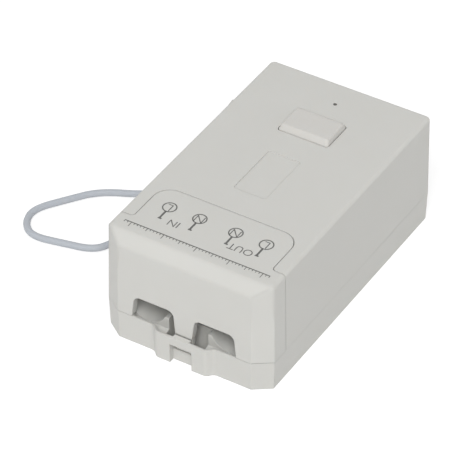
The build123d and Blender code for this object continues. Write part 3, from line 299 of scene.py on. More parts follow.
class ShaderSheet:
    """A node tree with short ways to place its nodes."""

    spacing = 190
    # Where a mix node has its two colours and their mixture
    mix_inputs = (6, 7)
    mix_output = 2

    def __init__(self, tree: bpy.types.NodeTree) -> None:
        """Starts a sheet on an empty node tree."""
        self.tree = tree
        self.tree.nodes.clear()

    @cached_property
    def place(self) -> Socket:
        """Gives the coordinates that the sheet's patterns follow."""
        return self.node("ShaderNodeTexCoord").outputs["Object"]

    def node(self, kind: str, feeds: dict[str | int, object] | None = None, **settings: object) -> Node:
        """Places a node.

        Args:
            kind: Blender's name of the node type.
            feeds: What its inputs are given.
            **settings: The node's own properties.

        Returns:
            The new node.
        """
        made = self.tree.nodes.new(kind)
        made.location = (self.spacing * len(self.tree.nodes), 0)
        set_up(made, **settings)
        self.feed(made, feeds or {})
        return made

    def feed(self, node: Node, feeds: dict[str | int, object]) -> None:
        """Gives a node's inputs their values.

        Args:
            node: The node.
            feeds: Outputs of other nodes or plain values, by the inputs' names or numbers.
        """
        for key, value in feeds.items():
            if isinstance(value, Socket):
                self.tree.links.new(value, node.inputs[key])
            else:
                node.inputs[key].default_value = value

    def math(self, operation: str, first: object, second: object = 0.0, clamp: bool = False) -> Socket:
        """Does one step of arithmetic on sockets or plain numbers, kept within 0 and 1 if clamped."""
        feeds = {0: first, 1: second}
        return self.node("ShaderNodeMath", feeds, operation=operation, use_clamp=clamp).outputs[0]

    def times(self, first: object, second: object) -> Socket:
        """Multiplies two sockets or plain numbers."""
        return self.math("MULTIPLY", first, second)

    def weigh(self, first: Socket, share: float, second: Socket, other: float) -> Socket:
        """Adds two values, each times its own weight."""
        return self.math("ADD", self.times(first, share), self.times(second, other))

    def spread(self, value: Socket, low: float, high: float, to_low: float = 0.0,
               to_high: float = 1.0) -> Socket:
        """Stretches a value from the span of low and high to that of to_low and to_high, and clamps it."""
        feeds = {"Value": value, "From Min": low, "From Max": high, "To Min": to_low, "To Max": to_high}
        return self.node("ShaderNodeMapRange", feeds, clamp=True).outputs["Result"]

    def blend(self, share: Socket, first: object, second: object) -> Socket:
        """Mixes two colours.

        Args:
            share: How much of the second colour shows.
            first: A colour or a socket.
            second: A colour or a socket.

        Returns:
            The mixed colour.
        """
        feeds = {"Factor": share}
        for place, value in zip(self.mix_inputs, (first, second)):
            feeds[place] = (*value, 1.0) if isinstance(value, tuple) else value
        return self.node("ShaderNodeMix", feeds, data_type="RGBA", blend_type="MIX").outputs[self.mix_output]

    def noise(self, scale: object, detail: float, rough: float, place: Socket | None = None) -> Socket:
        """Adds a noise of scale repeats to the metre, with a number and a weight of finer layers."""
        feeds = {"Vector": place or self.place, "Scale": scale, "Detail": detail, "Roughness": rough}
        return self.node("ShaderNodeTexNoise", feeds, noise_dimensions="3D").outputs["Fac"]

    def stretched(self, scale: Point) -> Socket:
        """Stretches the coordinates along the axes by three factors."""
        return self.node("ShaderNodeMapping", {"Vector": self.place, "Scale": scale}).outputs["Vector"]

    def emboss(self, shader: Node, height: Socket, strength: float, depth: float) -> Node:
        """Gives a shader a finely bumped surface.

        Args:
            shader: The shader.
            height: Height of the bumps, from 0 to 1.
            strength: How strongly they show.
            depth: How deep they are, in metres.

        Returns:
            The bump node.
        """
        bump = self.node("ShaderNodeBump", {"Strength": strength, "Distance": depth, "Height": height})
        self.feed(shader, {"Normal": bump.outputs["Normal"]})
        return bump

    def choose(self, share: Socket, first: Node, second: Node) -> Socket:
        """Shows the second shader instead of the first where the share is 1."""
        feeds = {0: share, 1: first.outputs[0], 2: second.outputs[0]}
        return self.node("ShaderNodeMixShader", feeds).outputs[0]


class EffectGroup:
    """A shared effect, kept as one node group that is built once."""

    name = "effect"
    takes: dict[str, float] = {}
    gives: tuple[str, ...] = ()

    def tree(self) -> bpy.types.NodeTree:
        """Gives the group's tree, made at its first use.

        Returns:
            The node group.
        """
        known = bpy.data.node_groups.get(self.name)
        if known:
            return known
        tree = bpy.data.node_groups.new(self.name, "ShaderNodeTree")
        tree.interface.new_socket("Place", in_out="INPUT", socket_type="NodeSocketVector")
        for label, value in self.takes.items():
            socket = tree.interface.new_socket(label, in_out="INPUT", socket_type="NodeSocketFloat")
            socket.default_value = value
        for label in self.gives:
            tree.interface.new_socket(label, in_out="OUTPUT", socket_type="NodeSocketFloat")
        sheet = ShaderSheet(tree)
        given = sheet.node("NodeGroupInput").outputs
        sheet.place = given["Place"]
        sheet.node("NodeGroupOutput", dict(zip(self.gives, self.draw(sheet, given))))
        return tree

    def draw(self, sheet: ShaderSheet, given: Outputs) -> tuple[Socket, ...]:
        """Draws the effect's own nodes.

        Args:
            sheet: The group's sheet.
            given: The group's inputs.

        Returns:
            The results, in the order of gives.
        """
        raise NotImplementedError

    def place_in(self, sheet: ShaderSheet, **values: float) -> Outputs:
        """Places the group in a material, with the values of its inputs by their names in small letters."""
        feeds = {"Place": sheet.place, **{key.capitalize(): value for key, value in values.items()}}
        return sheet.node("ShaderNodeGroup", feeds, node_tree=self.tree()).outputs


class MouldGrain(EffectGroup):
    """Fine spark-eroded grain of a mould, with the flow of the plastic under it."""

    name = "mould_grain"
    takes = {"Scale": 3200.0, "Flow": 60.0}
    gives = ("Height", "Tone")

    def draw(self, sheet: ShaderSheet, given: Outputs) -> tuple[Socket, ...]:
        """Draws the grain's height and the flow's slow change of tone."""
        fine = sheet.noise(given["Scale"], detail=2.5, rough=0.55)
        coarse = sheet.noise(sheet.times(given["Scale"], 0.31), detail=1.0, rough=0.5)
        flow = sheet.noise(given["Flow"], detail=2.0, rough=0.4)
        tone = sheet.weigh(sheet.spread(flow, 0.3, 0.7), 0.7, sheet.spread(fine, 0.3, 0.7), 0.3)
        return sheet.weigh(fine, 0.65, coarse, 0.35), tone


class HandlingMarks(EffectGroup):
    """Faint rub marks and hairline scratches from handling."""

    name = "handling_marks"
    takes = {"Scale": 240.0}
    gives = ("Rub", "Scratch")

    def draw(self, sheet: ShaderSheet, given: Outputs) -> tuple[Socket, ...]:
        """Draws soft rubbed patches, and thin lines where a noise crosses its middle."""
        scale = given["Scale"]
        rub = sheet.spread(sheet.noise(sheet.times(scale, 0.25), detail=3.0, rough=0.55), 0.48, 0.72)
        lines = sheet.noise(scale, detail=1.0, rough=0.4, place=sheet.stretched((1.0, 0.16, 0.4)))
        near = sheet.math("ABSOLUTE", sheet.math("SUBTRACT", lines, 0.5))
        thin = sheet.spread(near, 0.0, 0.006, 1.0, 0.0)
        patch = sheet.spread(sheet.noise(sheet.times(scale, 0.6), detail=1.0, rough=0.5), 0.58, 0.68)
        return rub, sheet.times(thin, patch)


class DustFilm(EffectGroup):
    """Thin dust that settles where a surface looks up."""

    name = "dust_film"
    takes = {"Scale": 900.0}
    gives = ("Dust",)

    def draw(self, sheet: ShaderSheet, given: Outputs) -> tuple[Socket, ...]:
        """Draws specks and a veil, kept to surfaces that look up."""
        facing = sheet.node("ShaderNodeNewGeometry").outputs["Normal"]
        upright = sheet.node("ShaderNodeSeparateXYZ", {"Vector": facing}).outputs["Z"]
        level = sheet.spread(upright, 0.4, 0.95)
        specks = sheet.spread(sheet.noise(given["Scale"], detail=2.0, rough=0.6), 0.62, 0.76)
        veil = sheet.spread(sheet.noise(70.0, detail=2.0, rough=0.5), 0.42, 0.75)
        return (sheet.times(level, sheet.weigh(specks, 0.7, veil, 0.3)),)


class BrushedLines(EffectGroup):
    """Fine tool lines of drawn, stamped or plated metal."""

    name = "brushed_lines"
    takes = {"Scale": 2600.0}
    gives = ("Height", "Tone")

    def draw(self, sheet: ShaderSheet, given: Outputs) -> tuple[Socket, ...]:
        """Draws lines along Y, and the cloudy tone of plating."""
        lines = sheet.noise(given["Scale"], detail=2.0, rough=0.6, place=sheet.stretched((1.0, 0.06, 1.0)))
        return lines, sheet.spread(sheet.noise(420.0, detail=3.0, rough=0.6), 0.3, 0.7)


# Finishes


class Finish:
    """A look that can be made into a material."""

    def material(self, name: str) -> Material:
        """Makes the material.

        Args:
            name: The material's name.

        Returns:
            The finished material.
        """
        made = bpy.data.materials.new(name)
        made.use_nodes = True
        sheet = ShaderSheet(made.node_tree)
        shader = sheet.node("ShaderNodeBsdfPrincipled")
        self.draw(sheet, shader)
        sheet.node("ShaderNodeOutputMaterial", {"Surface": shader.outputs["BSDF"]})
        return made

    def draw(self, sheet: ShaderSheet, shader: Node) -> None:
        """Draws the finish's own nodes.

        Args:
            sheet: The material's sheet.
            shader: Its shader.
        """
        raise NotImplementedError


@dataclass(frozen=True)
class MouldedPlastic(Finish):
    """Satin or glossy moulded plastic, with its lengths in metres.

    Attributes:
        colour: Colour in bright light.
        shade: Colour of the flow marks, a little darker.
        rough: Roughness of the surface.
        grain: Depth of the mould's grain.
        scale: Grains to the metre.
        dust: How much dust lies on what looks up.
        glow: How far light spreads inside.
        gloss: Strength of the clear reflection.
        edge: How far sharp edges look rounded.
        crown: The same for the edges round the front's top.
        crown_starts: Where that part starts, along Y and Z.
        crown_fades: How far it takes to come on there.
        bore: Middle of a small hole, along X and Y, where shade is painted inside.
        bore_radius: The hole's radius.
        bore_shade_fades: Where the painted shade starts to fade and ends, over that radius.
        bore_shade_share: How much of the painted shade shows inside.
        dark: Colour of the painted shade inside the hole.
    """

    colour: Colour
    shade: Colour
    rough: float = 0.5
    grain: float = 0.05
    scale: float = 3200.0
    dust: float = 0.04
    glow: float = 0.0
    gloss: float = 0.42
    edge: float = 0.0
    crown: float = 0.0
    crown_starts: tuple[float, float] = (-0.0378, 0.023)
    crown_fades: tuple[float, float] = (0.001, 0.003)
    bore: tuple[float, float] | None = None
    bore_radius: float = 0.0005
    bore_shade_fades: tuple[float, float] = (1.04, 1.1)
    bore_shade_share: float = 0.62
    dark: Colour = (0.03, 0.026, 0.022)

    def roundness(self, sheet: ShaderSheet) -> Socket:
        """Says how far edges look rounded at each place.

        Args:
            sheet: The material's sheet.

        Returns:
            The radius, in metres.
        """
        along = sheet.node("ShaderNodeSeparateXYZ", {"Vector": sheet.place}).outputs
        (y, z), (fade_y, fade_z) = self.crown_starts, self.crown_fades
        ahead = sheet.spread(along["Y"], y - fade_y, y, 1.0, 0.0)
        high = sheet.spread(along["Z"], z, z + fade_z)
        return sheet.math("ADD", self.edge, sheet.times(sheet.times(ahead, high), self.crown - self.edge))

    def painted_bore_shade(self, sheet: ShaderSheet) -> Socket:
        """Says where shade is painted inside the small hole.

        Args:
            sheet: The material's sheet.

        Returns:
            The mask.
        """
        feeds = {0: sheet.stretched((1.0, 1.0, 0.0)), 1: (*self.bore, 0.0)}
        apart = sheet.node("ShaderNodeVectorMath", feeds, operation="DISTANCE").outputs["Value"]
        start, end = (share * self.bore_radius for share in self.bore_shade_fades)
        return sheet.spread(apart, start, end, self.bore_shade_share, 0.0)

    def draw(self, sheet: ShaderSheet, shader: Node) -> None:
        """Draws the plastic's flow, dust, wear and grain, painted shade in a small hole where one is given,
        its soft edges and its glow.
        """
        grain = MouldGrain().place_in(sheet, scale=self.scale)
        marks = HandlingMarks().place_in(sheet)
        dust = DustFilm().place_in(sheet)
        base = sheet.blend(sheet.times(grain["Tone"], 0.5), self.colour, self.shade)
        pale = tuple(min(1.0, 0.5 + 0.4 * part) for part in self.colour)
        base = sheet.blend(sheet.times(dust["Dust"], self.dust), base, pale)
        # Painted shade: inside the small hole the colour is blended towards near black, standing in for the
        # shadow there.
        if self.bore:
            base = sheet.blend(self.painted_bore_shade(sheet), base, self.dark)
        worn = sheet.weigh(marks["Rub"], -0.06, marks["Scratch"], 0.10)
        rough = sheet.math("ADD", worn, self.rough, clamp=True)
        sheet.feed(shader, {"Base Color": base, "Roughness": rough, "Specular IOR Level": self.gloss})
        height = sheet.math("SUBTRACT", grain["Height"], sheet.times(marks["Scratch"], 0.4))
        bump = sheet.emboss(shader, height, self.grain, depth=0.0001)
        if self.edge:
            radius = self.roundness(sheet) if self.crown else self.edge
            soft = sheet.node("ShaderNodeBevel", {"Radius": radius}, samples=4)
            sheet.feed(bump, {"Normal": soft.outputs["Normal"]})
        if self.glow:
            shader.subsurface_method = "RANDOM_WALK"
            sheet.feed(shader, {"Subsurface Weight": 0.25, "Subsurface Radius": (1.0, 0.9, 0.8),
                                "Subsurface Scale": self.glow})


@dataclass(frozen=True)
class MetalFinish(Finish):
    """Plated, tinned or bare metal.

    Attributes:
        colour: Colour of the clean metal.
        tarnish: Colour of its dull clouds.
        rough: Roughness of the clean metal.
        lines: Depth of the tool lines.
        scale: Lines to the metre.
    """

    colour: Colour
    tarnish: Colour
    rough: float = 0.3
    lines: float = 0.15
    scale: float = 2600.0

    def draw(self, sheet: ShaderSheet, shader: Node) -> None:
        """Draws the metal's tool lines, dull clouds and rub marks."""
        lines = BrushedLines().place_in(sheet, scale=self.scale)
        marks = HandlingMarks().place_in(sheet, scale=500.0)
        base = sheet.blend(sheet.times(lines["Tone"], 0.6), self.colour, self.tarnish)
        worn = sheet.weigh(lines["Tone"], 0.12, marks["Rub"], 0.08)
        rough = sheet.math("ADD", worn, self.rough, clamp=True)
        sheet.feed(shader, {"Base Color": base, "Roughness": rough, "Metallic": 1.0})
        sheet.emboss(shader, lines["Height"], self.lines, depth=0.00005)


@dataclass(frozen=True)
class LaminateFinish(Finish):
    """Solder mask over glass fibre laminate, with the tracks showing under it.

    Attributes:
        mask: Colour over bare laminate.
        track: Colour over copper.
        rough: Roughness of the mask.
        islands: Islands of copper to the metre.
    """

    mask: Colour = (0.012, 0.085, 0.035)
    track: Colour = (0.03, 0.16, 0.06)
    rough: float = 0.34
    islands: float = 190.0

    def draw(self, sheet: ShaderSheet, shader: Node) -> None:
        """Draws copper islands with gaps between them, over the weave."""
        flat = sheet.stretched((1.0, 0.6, 0.02))
        feeds = {"Vector": flat, "Scale": self.islands, "Randomness": 0.35}
        cells = sheet.node("ShaderNodeTexVoronoi", feeds, feature="DISTANCE_TO_EDGE", distance="EUCLIDEAN")
        copper = sheet.spread(cells.outputs["Distance"], 0.06, 0.075)
        weave = MouldGrain().place_in(sheet, scale=1900.0)
        marks = HandlingMarks().place_in(sheet)
        base = sheet.blend(copper, self.mask, self.track)
        base = sheet.blend(sheet.times(weave["Tone"], 0.18), base, self.mask)
        rough = sheet.math("ADD", sheet.times(marks["Rub"], 0.1), self.rough, clamp=True)
        sheet.feed(shader, {"Base Color": base, "Roughness": rough, "Coat Weight": 0.25})
        height = sheet.math("ADD", copper, sheet.times(weave["Height"], 0.15))
        sheet.emboss(shader, height, strength=0.35, depth=0.00004)


@dataclass(frozen=True)
class WoundTape(Finish):
    """Turns of tape round a winding, each lapping the last.

    Attributes:
        colour: Colour of the tape.
        edge: Colour at the lap of each turn.
        turns: Turns to the metre along Z.
    """

    colour: Colour = (0.62, 0.42, 0.035)
    edge: Colour = (0.36, 0.22, 0.02)
    turns: float = 300.0

    def draw(self, sheet: ShaderSheet, shader: Node) -> None:
        """Draws the laps, each with a darker edge."""
        feeds = {"Vector": sheet.place, "Scale": self.turns, "Distortion": 0.4}
        bands = {"wave_type": "BANDS", "bands_direction": "Z", "wave_profile": "SAW"}
        lap = sheet.node("ShaderNodeTexWave", feeds, **bands).outputs["Fac"]
        tone = MouldGrain().place_in(sheet, scale=1500.0)["Tone"]
        base = sheet.blend(sheet.spread(lap, 0.86, 1.0), self.colour, self.edge)
        base = sheet.blend(sheet.times(tone, 0.3), base, self.edge)
        sheet.feed(shader, {"Base Color": base, "Roughness": sheet.spread(tone, 0.0, 1.0, 0.24, 0.4)})
        sheet.emboss(shader, lap, strength=0.5, depth=0.00006)


@dataclass(frozen=True)
class LensFinish(Finish):
    """Tinted, frosted resin of a small lamp.

    Attributes:
        tint: Colour of the resin.
        rough: Frosting.
    """

    tint: Colour = (0.85, 0.12, 0.06)
    rough: float = 0.28

    def draw(self, sheet: ShaderSheet, shader: Node) -> None:
        """Draws the resin's tint, its frosting and what shines through."""
        grain = MouldGrain().place_in(sheet, scale=2400.0)
        deep = tuple(0.7 * part for part in self.tint)
        frost = sheet.spread(grain["Tone"], 0.0, 1.0, self.rough - 0.06, self.rough + 0.06)
        base = sheet.blend(grain["Tone"], self.tint, deep)
        sheet.feed(shader, {"Base Color": base, "Roughness": frost, "Transmission Weight": 0.6})
        sheet.emboss(shader, grain["Height"], strength=0.04, depth=0.0001)


# Sub-assemblies


def dress(finish: Finish, material_name: str, *nodes: str) -> None:
    """Gives CAD nodes a finished material.

    Args:
        finish: How it looks.
        material_name: The material's name.
        *nodes: Names of the CAD nodes.
    """
    material = bpy.data.materials.get(material_name) or finish.material(material_name)
    for node in nodes:
        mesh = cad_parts[node].data
        if not mesh.materials:
            mesh.materials.append(material)
        for place in range(len(mesh.materials)):
            mesh.materials[place] = material
        log.info("dressed %s in %s", node, material_name)


def hand_over(piece: Piece, body: Body, material: Material,
              stands_for: Sequence[str] = ()) -> None:
    """Puts a finished piece on its body.

    Args:
        piece: The finished object.
        body: The body that it rides on.
        material: Its material.
        stands_for: CAD nodes that it replaces.
    """
    piece.data.materials.clear()
    piece.data.materials.append(material)
    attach(piece, body.value)
    if stands_for:
        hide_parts(*stands_for)
    log.info("placed %s on %s", piece.name, body.value)


SATIN_CASE = MouldedPlastic((0.630, 0.626, 0.598), (0.602, 0.598, 0.568), rough=0.50, glow=0.0006,
                            gloss=0.15, edge=0.0003)
# The housing's plastic, with shade painted into the LED pinhole.
HOUSING_PAINTED_PINHOLE = replace(SATIN_CASE, bore=(0.0, 0.0346))
COVER_CASE = replace(SATIN_CASE, edge=0.0004, crown=0.0018)
SATIN_BUTTON = MouldedPlastic((0.630, 0.618, 0.590), (0.602, 0.590, 0.560), rough=0.44, glow=0.0006,
                              gloss=0.2, edge=0.0007)
SHEATH = MouldedPlastic((0.485, 0.512, 0.552), (0.44, 0.468, 0.506), rough=0.52, grain=0.03, scale=1800.0,
                        glow=0.0004, gloss=0.2)
INK = MouldedPlastic((0.115, 0.115, 0.108), (0.15, 0.15, 0.142), rough=0.6, grain=0.04, scale=5200.0,
                     dust=0.02)
ZINC = MetalFinish((0.62, 0.62, 0.60), (0.40, 0.40, 0.38), rough=0.26)


@dataclass
class AerialLoop:
    """Thin insulated aerial wire that makes a loose loop beside the case.

    Attributes:
        radius: Outside of the sheath, in metres.
        length: Length from wall to wall, in metres; not used.
        route: Points of the route, in millimetres.
    """

    radius: float = 0.001
    length: float = 0.1285
    route: tuple[Point, ...] = (
        (-23.55, 22.0, 12.0), (-30.35, 22.0, 12.0), (-36.0, 19.3, 8.0), (-40.1, 13.8, 1.9),
        (-46.1, 9.5, 1.02), (-57.8, 4.1, 1.02), (-63.6, -3.8, 1.02), (-69.4, -12.1, 1.02),
        (-67.7, -18.6, 1.02), (-62.9, -22.1, 1.02), (-54.4, -20.3, 1.02), (-45.1, -18.2, 1.02),
        (-42.2, -12.7, 1.02), (-38.4, -4.9, 1.9), (-35.8, 1.2, 7.4), (-30.35, 5.5, 12.0),
        (-23.55, 5.5, 12.0),
    )

    def build(self) -> Piece:
        """Makes the wire as one smooth curve along its route.

        Returns:
            The curve.
        """
        line = bpy.data.curves.new("aerial_loop", "CURVE")
        set_up(line, dimensions="3D", bevel_depth=self.radius, bevel_resolution=5, resolution_u=14,
               use_fill_caps=True)
        spline = line.splines.new("NURBS")
        spline.points.add(len(self.route) - 1)
        for point, place in zip(spline.points, self.route):
            point.co = (*(value * MM for value in place), 1.0)
        set_up(spline, order_u=3, use_endpoint_u=True)
        return add_object("aerial_loop", line)

    def dress(self, piece: Piece) -> None:
        hand_over(piece, Body.CASE, SHEATH.material("wire_sheath"), ("aerial_wire",))


@dataclass
class CaseShell:
    """Moulded case: base, housing, terminal cover with its catch, and button."""

    def dress(self) -> None:
        """Gives the mouldings their satin plastic."""
        dress(SATIN_CASE, "case_moulding", "base_tray", "cover_latch")
        dress(HOUSING_PAINTED_PINHOLE, "housing_moulding", "top_housing")
        dress(COVER_CASE, "cover_moulding", "terminal_cover")
        dress(SATIN_BUTTON, "button_moulding", "program_button")


@dataclass
class PrintedMarks:
    """Grey printed marks on the cover's top: poles, directions and a strip gauge, in millimetres.

    Attributes:
        top: Level of the cover's top.
        thick: How far the ink stands proud; it is sunk by half of that.
        poles: Name, letter and place along X of each pole's mark.
        pole_y: Line of the poles.
        ring: Outer radius of a pole's circle.
        line: Width of the circle's line.
        letter: Size of a pole's letter.
        letter_thin: How much its strokes are thinned.
        stem: Width of the stroke from a circle to its foot.
        foot_y: Far side of the foot.
        foot: Height of the foot.
        serifs: How far the foot stands out on either side.
        words: Name, letters and centre along X of each direction mark.
        word_y: Line of the direction marks.
        word_size: Size of their letters.
        word_thin: How much their strokes are thinned.
        gauge_half: Half of the gauge's length.
        gauge_y: The gauge's upper side.
        bar: Width of the gauge's base line.
        tick: Width of a tick.
        rows: Step of each row of ticks, and where it starts and ends below the gauge's upper side.
    """

    top: float = 34.75
    thick: float = 0.02
    poles: tuple[tuple[str, str, float], ...] = (
        ("pole_mark_in_live", "L", -14.8),
        ("pole_mark_in_neutral", "N", -5.5),
        ("pole_mark_out_neutral", "N", 5.5),
        ("pole_mark_out_live", "L", 14.8),
    )
    pole_y: float = -26.7
    ring: float = 2.05
    line: float = 0.34
    letter: float = 4.0
    letter_thin: float = 0.055
    stem: float = 0.56
    foot_y: float = -32.1
    foot: float = 0.5
    serifs: tuple[float, float] = (0.38, 0.16)
    words: tuple[tuple[str, str, float], ...] = (
        ("word_mark_in", "IN", -10.3),
        ("word_mark_out", "OUT", 10.05),
    )
    word_y: float = -31.85
    word_size: float = 3.5
    word_thin: float = 0.035
    gauge_half: int = 22
    gauge_y: float = -36.9
    bar: float = 0.3
    tick: float = 0.2
    rows: tuple[tuple[int, float, float], ...] = ((1, 0.3, 0.85), (5, 0.85, 1.4), (10, 1.4, 1.95))

    def ring_shape(self) -> Piece:
        """Makes the flat circle round a pole's letter.

        Returns:
            The ring.
        """
        bpy.ops.mesh.primitive_circle_add(vertices=72, radius=self.ring, fill_type="NGON")
        piece = fresh("ring")
        with shaping(piece, "FACE", "SELECT"):
            bpy.ops.mesh.inset(thickness=self.line)
            bpy.ops.mesh.delete(type="FACE")
        return piece

    def stem_shape(self) -> Piece:
        """Makes the stroke from the circle down to its foot.

        Returns:
            The stem with its foot.
        """
        low = self.foot_y - self.pole_y
        ankle = low + self.foot
        side = self.stem / 2 - NEAR
        piece = strip(self.stem, self.line / 2 - self.ring, ankle)
        with shaping(piece, "EDGE"):
            pick(piece, "edges", lambda a, b: max(a.y, b.y) < ankle + NEAR)
            push_out(y=low - ankle)
            pick(piece, "edges", lambda a, b: min(a.x, b.x) > side and min(a.y, b.y) < ankle - NEAR)
            push_out(x=self.serifs[0])
            pick(piece, "edges", lambda a, b: max(a.x, b.x) < -side and min(a.y, b.y) < ankle - NEAR)
            push_out(x=-self.serifs[1])
        return piece

    def letters(self, text: str, size: float, thin: float) -> Piece:
        """Makes a mark's letters, which read from the terminal end.

        Args:
            text: The letters.
            size: Size of the type.
            thin: How much the strokes are thinned.

        Returns:
            The letters as a flat mesh about the bench's zero.
        """
        bpy.ops.object.text_add()
        piece = fresh("letters")
        set_up(piece.data, body=text, size=size, offset=-thin, align_x="CENTER", align_y="CENTER",
               resolution_u=4)
        bpy.ops.object.convert(target="MESH")
        piece = fresh("letters")
        piece.rotation_euler.z = math.pi
        freeze()
        return piece

    def gauge(self) -> Piece:
        """Makes the strip gauge: a base line with ticks at each millimetre.

        Returns:
            The gauge.
        """
        strips = [strip(2 * self.gauge_half + self.tick, 0.0, -self.bar)]
        for step, near, far in self.rows:
            side = self.gauge_half // step
            tick = strip(self.tick, -near, -far, -step * side)
            row = tick.modifiers.new("row", "ARRAY")
            set_up(row, use_relative_offset=False, use_constant_offset=True,
                   constant_offset_displace=(float(step), 0.0, 0.0), count=2 * side + 1)
            bpy.ops.object.modifier_apply(modifier=row.name)
            strips.append(tick)
        return join_pieces(strips, "strip_gauge")

    def ink(self, flat: Piece, x: float, y: float) -> Piece:
        """Gives a flat mark its film of ink, and brings it to its place on the cover.

        Args:
            flat: The mark on the bench.
            x: Its place along X.
            y: Its place along Y.

        Returns:
            The same mark.
        """
        close_up(flat)
        with shaping(flat, "FACE", "SELECT"):
            push_out(z=1.5 * self.thick)
        close_up(flat)
        return settle(flat, (x, y, self.top - self.thick / 2), 0.0)

    def build(self) -> list[Piece]:
        """Makes every mark and brings it to its place.

        Returns:
            The marks.
        """
        made = []
        ring, stem = self.ring_shape(), self.stem_shape()
        for name, letter, x in self.poles:
            parts = [twin(ring, name), twin(stem, "stem_copy"),
                     self.letters(letter, self.letter, self.letter_thin)]
            made.append(self.ink(join_pieces(parts, name), x, self.pole_y))
        bpy.data.objects.remove(ring)
        bpy.data.objects.remove(stem)
        for name, text, x in self.words:
            word = self.letters(text, self.word_size, self.word_thin)
            word.name = name
            made.append(self.ink(word, x, self.word_y))
        made.append(self.ink(self.gauge(), 0.0, self.gauge_y))
        return made

    def dress(self, pieces: Sequence[Piece]) -> None:
        """Gives the marks their ink and puts them on the cover.

        Args:
            pieces: The marks.
        """
        ink = INK.material("grey_ink")
        for piece in pieces:
            hand_over(piece, Body.COVER, ink)


@dataclass
class CrossScrew:
    """Pan head screw with a cross recess and a threaded shank, in millimetres.

    Attributes:
        head_radius: Radius of the head.
        head_height: Height of the head.
        dome: Share of the head's height that is rounded.
        shank_radius: Outer radius of the thread.
        core: Radius of the core over that of the thread.
        shank_length: Length below the head.
        neck: Share of what is left below the turns that isn't tapered.
        tip: Radius of the tip's end over that of the core.
        tip_length: Least length of the tip.
        pitch: Pitch of the thread.
        flank: Share of the pitch that each flank takes; the crest has the rest.
        recess: Half of the recess's width.
        slot: Width of a slot over that half, its depth over the head's height, and its taper.
    """

    head_radius: float = 2.5
    head_height: float = 1.7
    dome: float = 0.62
    shank_radius: float = 1.45
    core: float = 0.8
    shank_length: float = 8.0
    neck: float = 0.6
    tip: float = 0.35
    tip_length: float = 1.2
    pitch: float = 1.0
    flank: float = 0.42
    recess: float = 1.35
    slot: tuple[float, float, float] = (0.36, 1.7, 0.45)

    def thread(self) -> None:
        """Pushes the shank down turn by turn from the ring that is selected, and ends it in a tip."""
        level = 0.0
        flank, crest = self.flank, 1.0 - 2 * self.flank
        for _ in range(int((self.shank_length - self.tip_length) / self.pitch)):
            for share, part in ((1.0 / self.core, flank), (1.0, crest), (self.core, flank)):
                push_out(z=-part * self.pitch)
                level -= part * self.pitch
                swell(share, level)
        for part in (self.neck, 1.0 - self.neck):
            push_out(z=-(self.shank_length + level) * part)
        swell(self.tip, -self.shank_length)

    def blade(self, turn: float) -> Piece:
        """Makes one tapering blade of the tool that cuts the cross recess.

        Args:
            turn: Its turn about the screw's axis, in radians.

        Returns:
            The blade.
        """
        width, depth, taper = self.slot
        bpy.ops.mesh.primitive_cube_add(size=1.0, location=(0.0, 0.0, self.head_height))
        blade = fresh("blade")
        blade.scale = (2 * self.recess, width * self.recess, depth * self.head_height)
        blade.rotation_euler.z = turn
        freeze()
        with shaping(blade, "FACE"):
            pick(blade, "faces", lambda normal: normal.z < -LEVEL)
            swell(taper)
        return blade

    def build(self) -> Piece:
        """Makes the screw upright on the bench, its bearing face at zero.

        Returns:
            The screw.
        """
        bpy.ops.mesh.primitive_cylinder_add(vertices=40, radius=self.head_radius, depth=self.head_height,
                                            location=(0.0, 0.0, self.head_height / 2))
        piece = fresh("screw")
        freeze()
        with shaping(piece, "FACE"):
            pick(piece, "faces", lambda normal: normal.z > LEVEL)
            bpy.ops.mesh.bevel(offset=self.dome * self.head_height, segments=6, profile=0.5, affect="EDGES")
            pick(piece, "faces", lambda normal: normal.z < -LEVEL)
            bpy.ops.mesh.inset(thickness=self.head_radius - self.core * self.shank_radius)
            self.thread()
        for turn in (0.0, math.pi / 2):
            cut_with(piece, self.blade(turn))
        close_up(piece)
        return piece


@dataclass
class ScrewSet:
    """A pattern of equal screws.

    Attributes:
        label: Start of the pieces' names.
        screw: The screw that is copied.
        places: Where each bearing face's centre is, in millimetres.
        turn: Which way the heads look.
        body: The body that they ride on.
        node: The CAD node that they stand for.
        driven: How much further round each is driven than the last, in radians.
    """

    label: str
    screw: CrossScrew
    places: tuple[Point, ...]
    turn: Turn
    body: Body
    node: str
    driven: float = 0.7

    def build(self) -> list[Piece]:
        """Makes one screw, and copies it to every place.

        Returns:
            The screws.
        """
        first = self.screw.build()
        made = []
        for number, place in enumerate(self.places, 1):
            piece = twin(first, f"{self.label}_{number}")
            piece.rotation_euler = (self.turn.value, 0.0, self.driven * number)
            made.append(settle(piece, place))
        bpy.data.objects.remove(first)
        return made

    def dress(self, pieces: Sequence[Piece], metal: Material) -> None:
        """Gives the screws their metal and puts them on their body."""
        for piece in pieces:
            hand_over(piece, self.body, metal, (self.node,))


CASE_SCREW = CrossScrew(head_radius=2.7, head_height=1.9, shank_length=12.0, pitch=1.2, recess=1.5)
CLAMP_SCREW = CrossScrew()
CASE_PLACES = tuple((x, y, 3.2) for x in (-20.6, 20.6) for y in (-11.5, 38.0))
CLAMP_PLACES = tuple((x, -34.4, 11.9) for x in (-20.8, -4.4, 4.4, 20.8))
SCREW_SETS = (
    ScrewSet("case_screw", CASE_SCREW, CASE_PLACES, Turn.DOWN, Body.CASE, "case_screws"),
    ScrewSet("clamp_screw_in", CLAMP_SCREW, CLAMP_PLACES[:2], Turn.UP, Body.CLAMP_IN, "clamp_screws_in"),
    ScrewSet("clamp_screw_out", CLAMP_SCREW, CLAMP_PLACES[2:], Turn.UP, Body.CLAMP_OUT, "clamp_screws_out"),
)


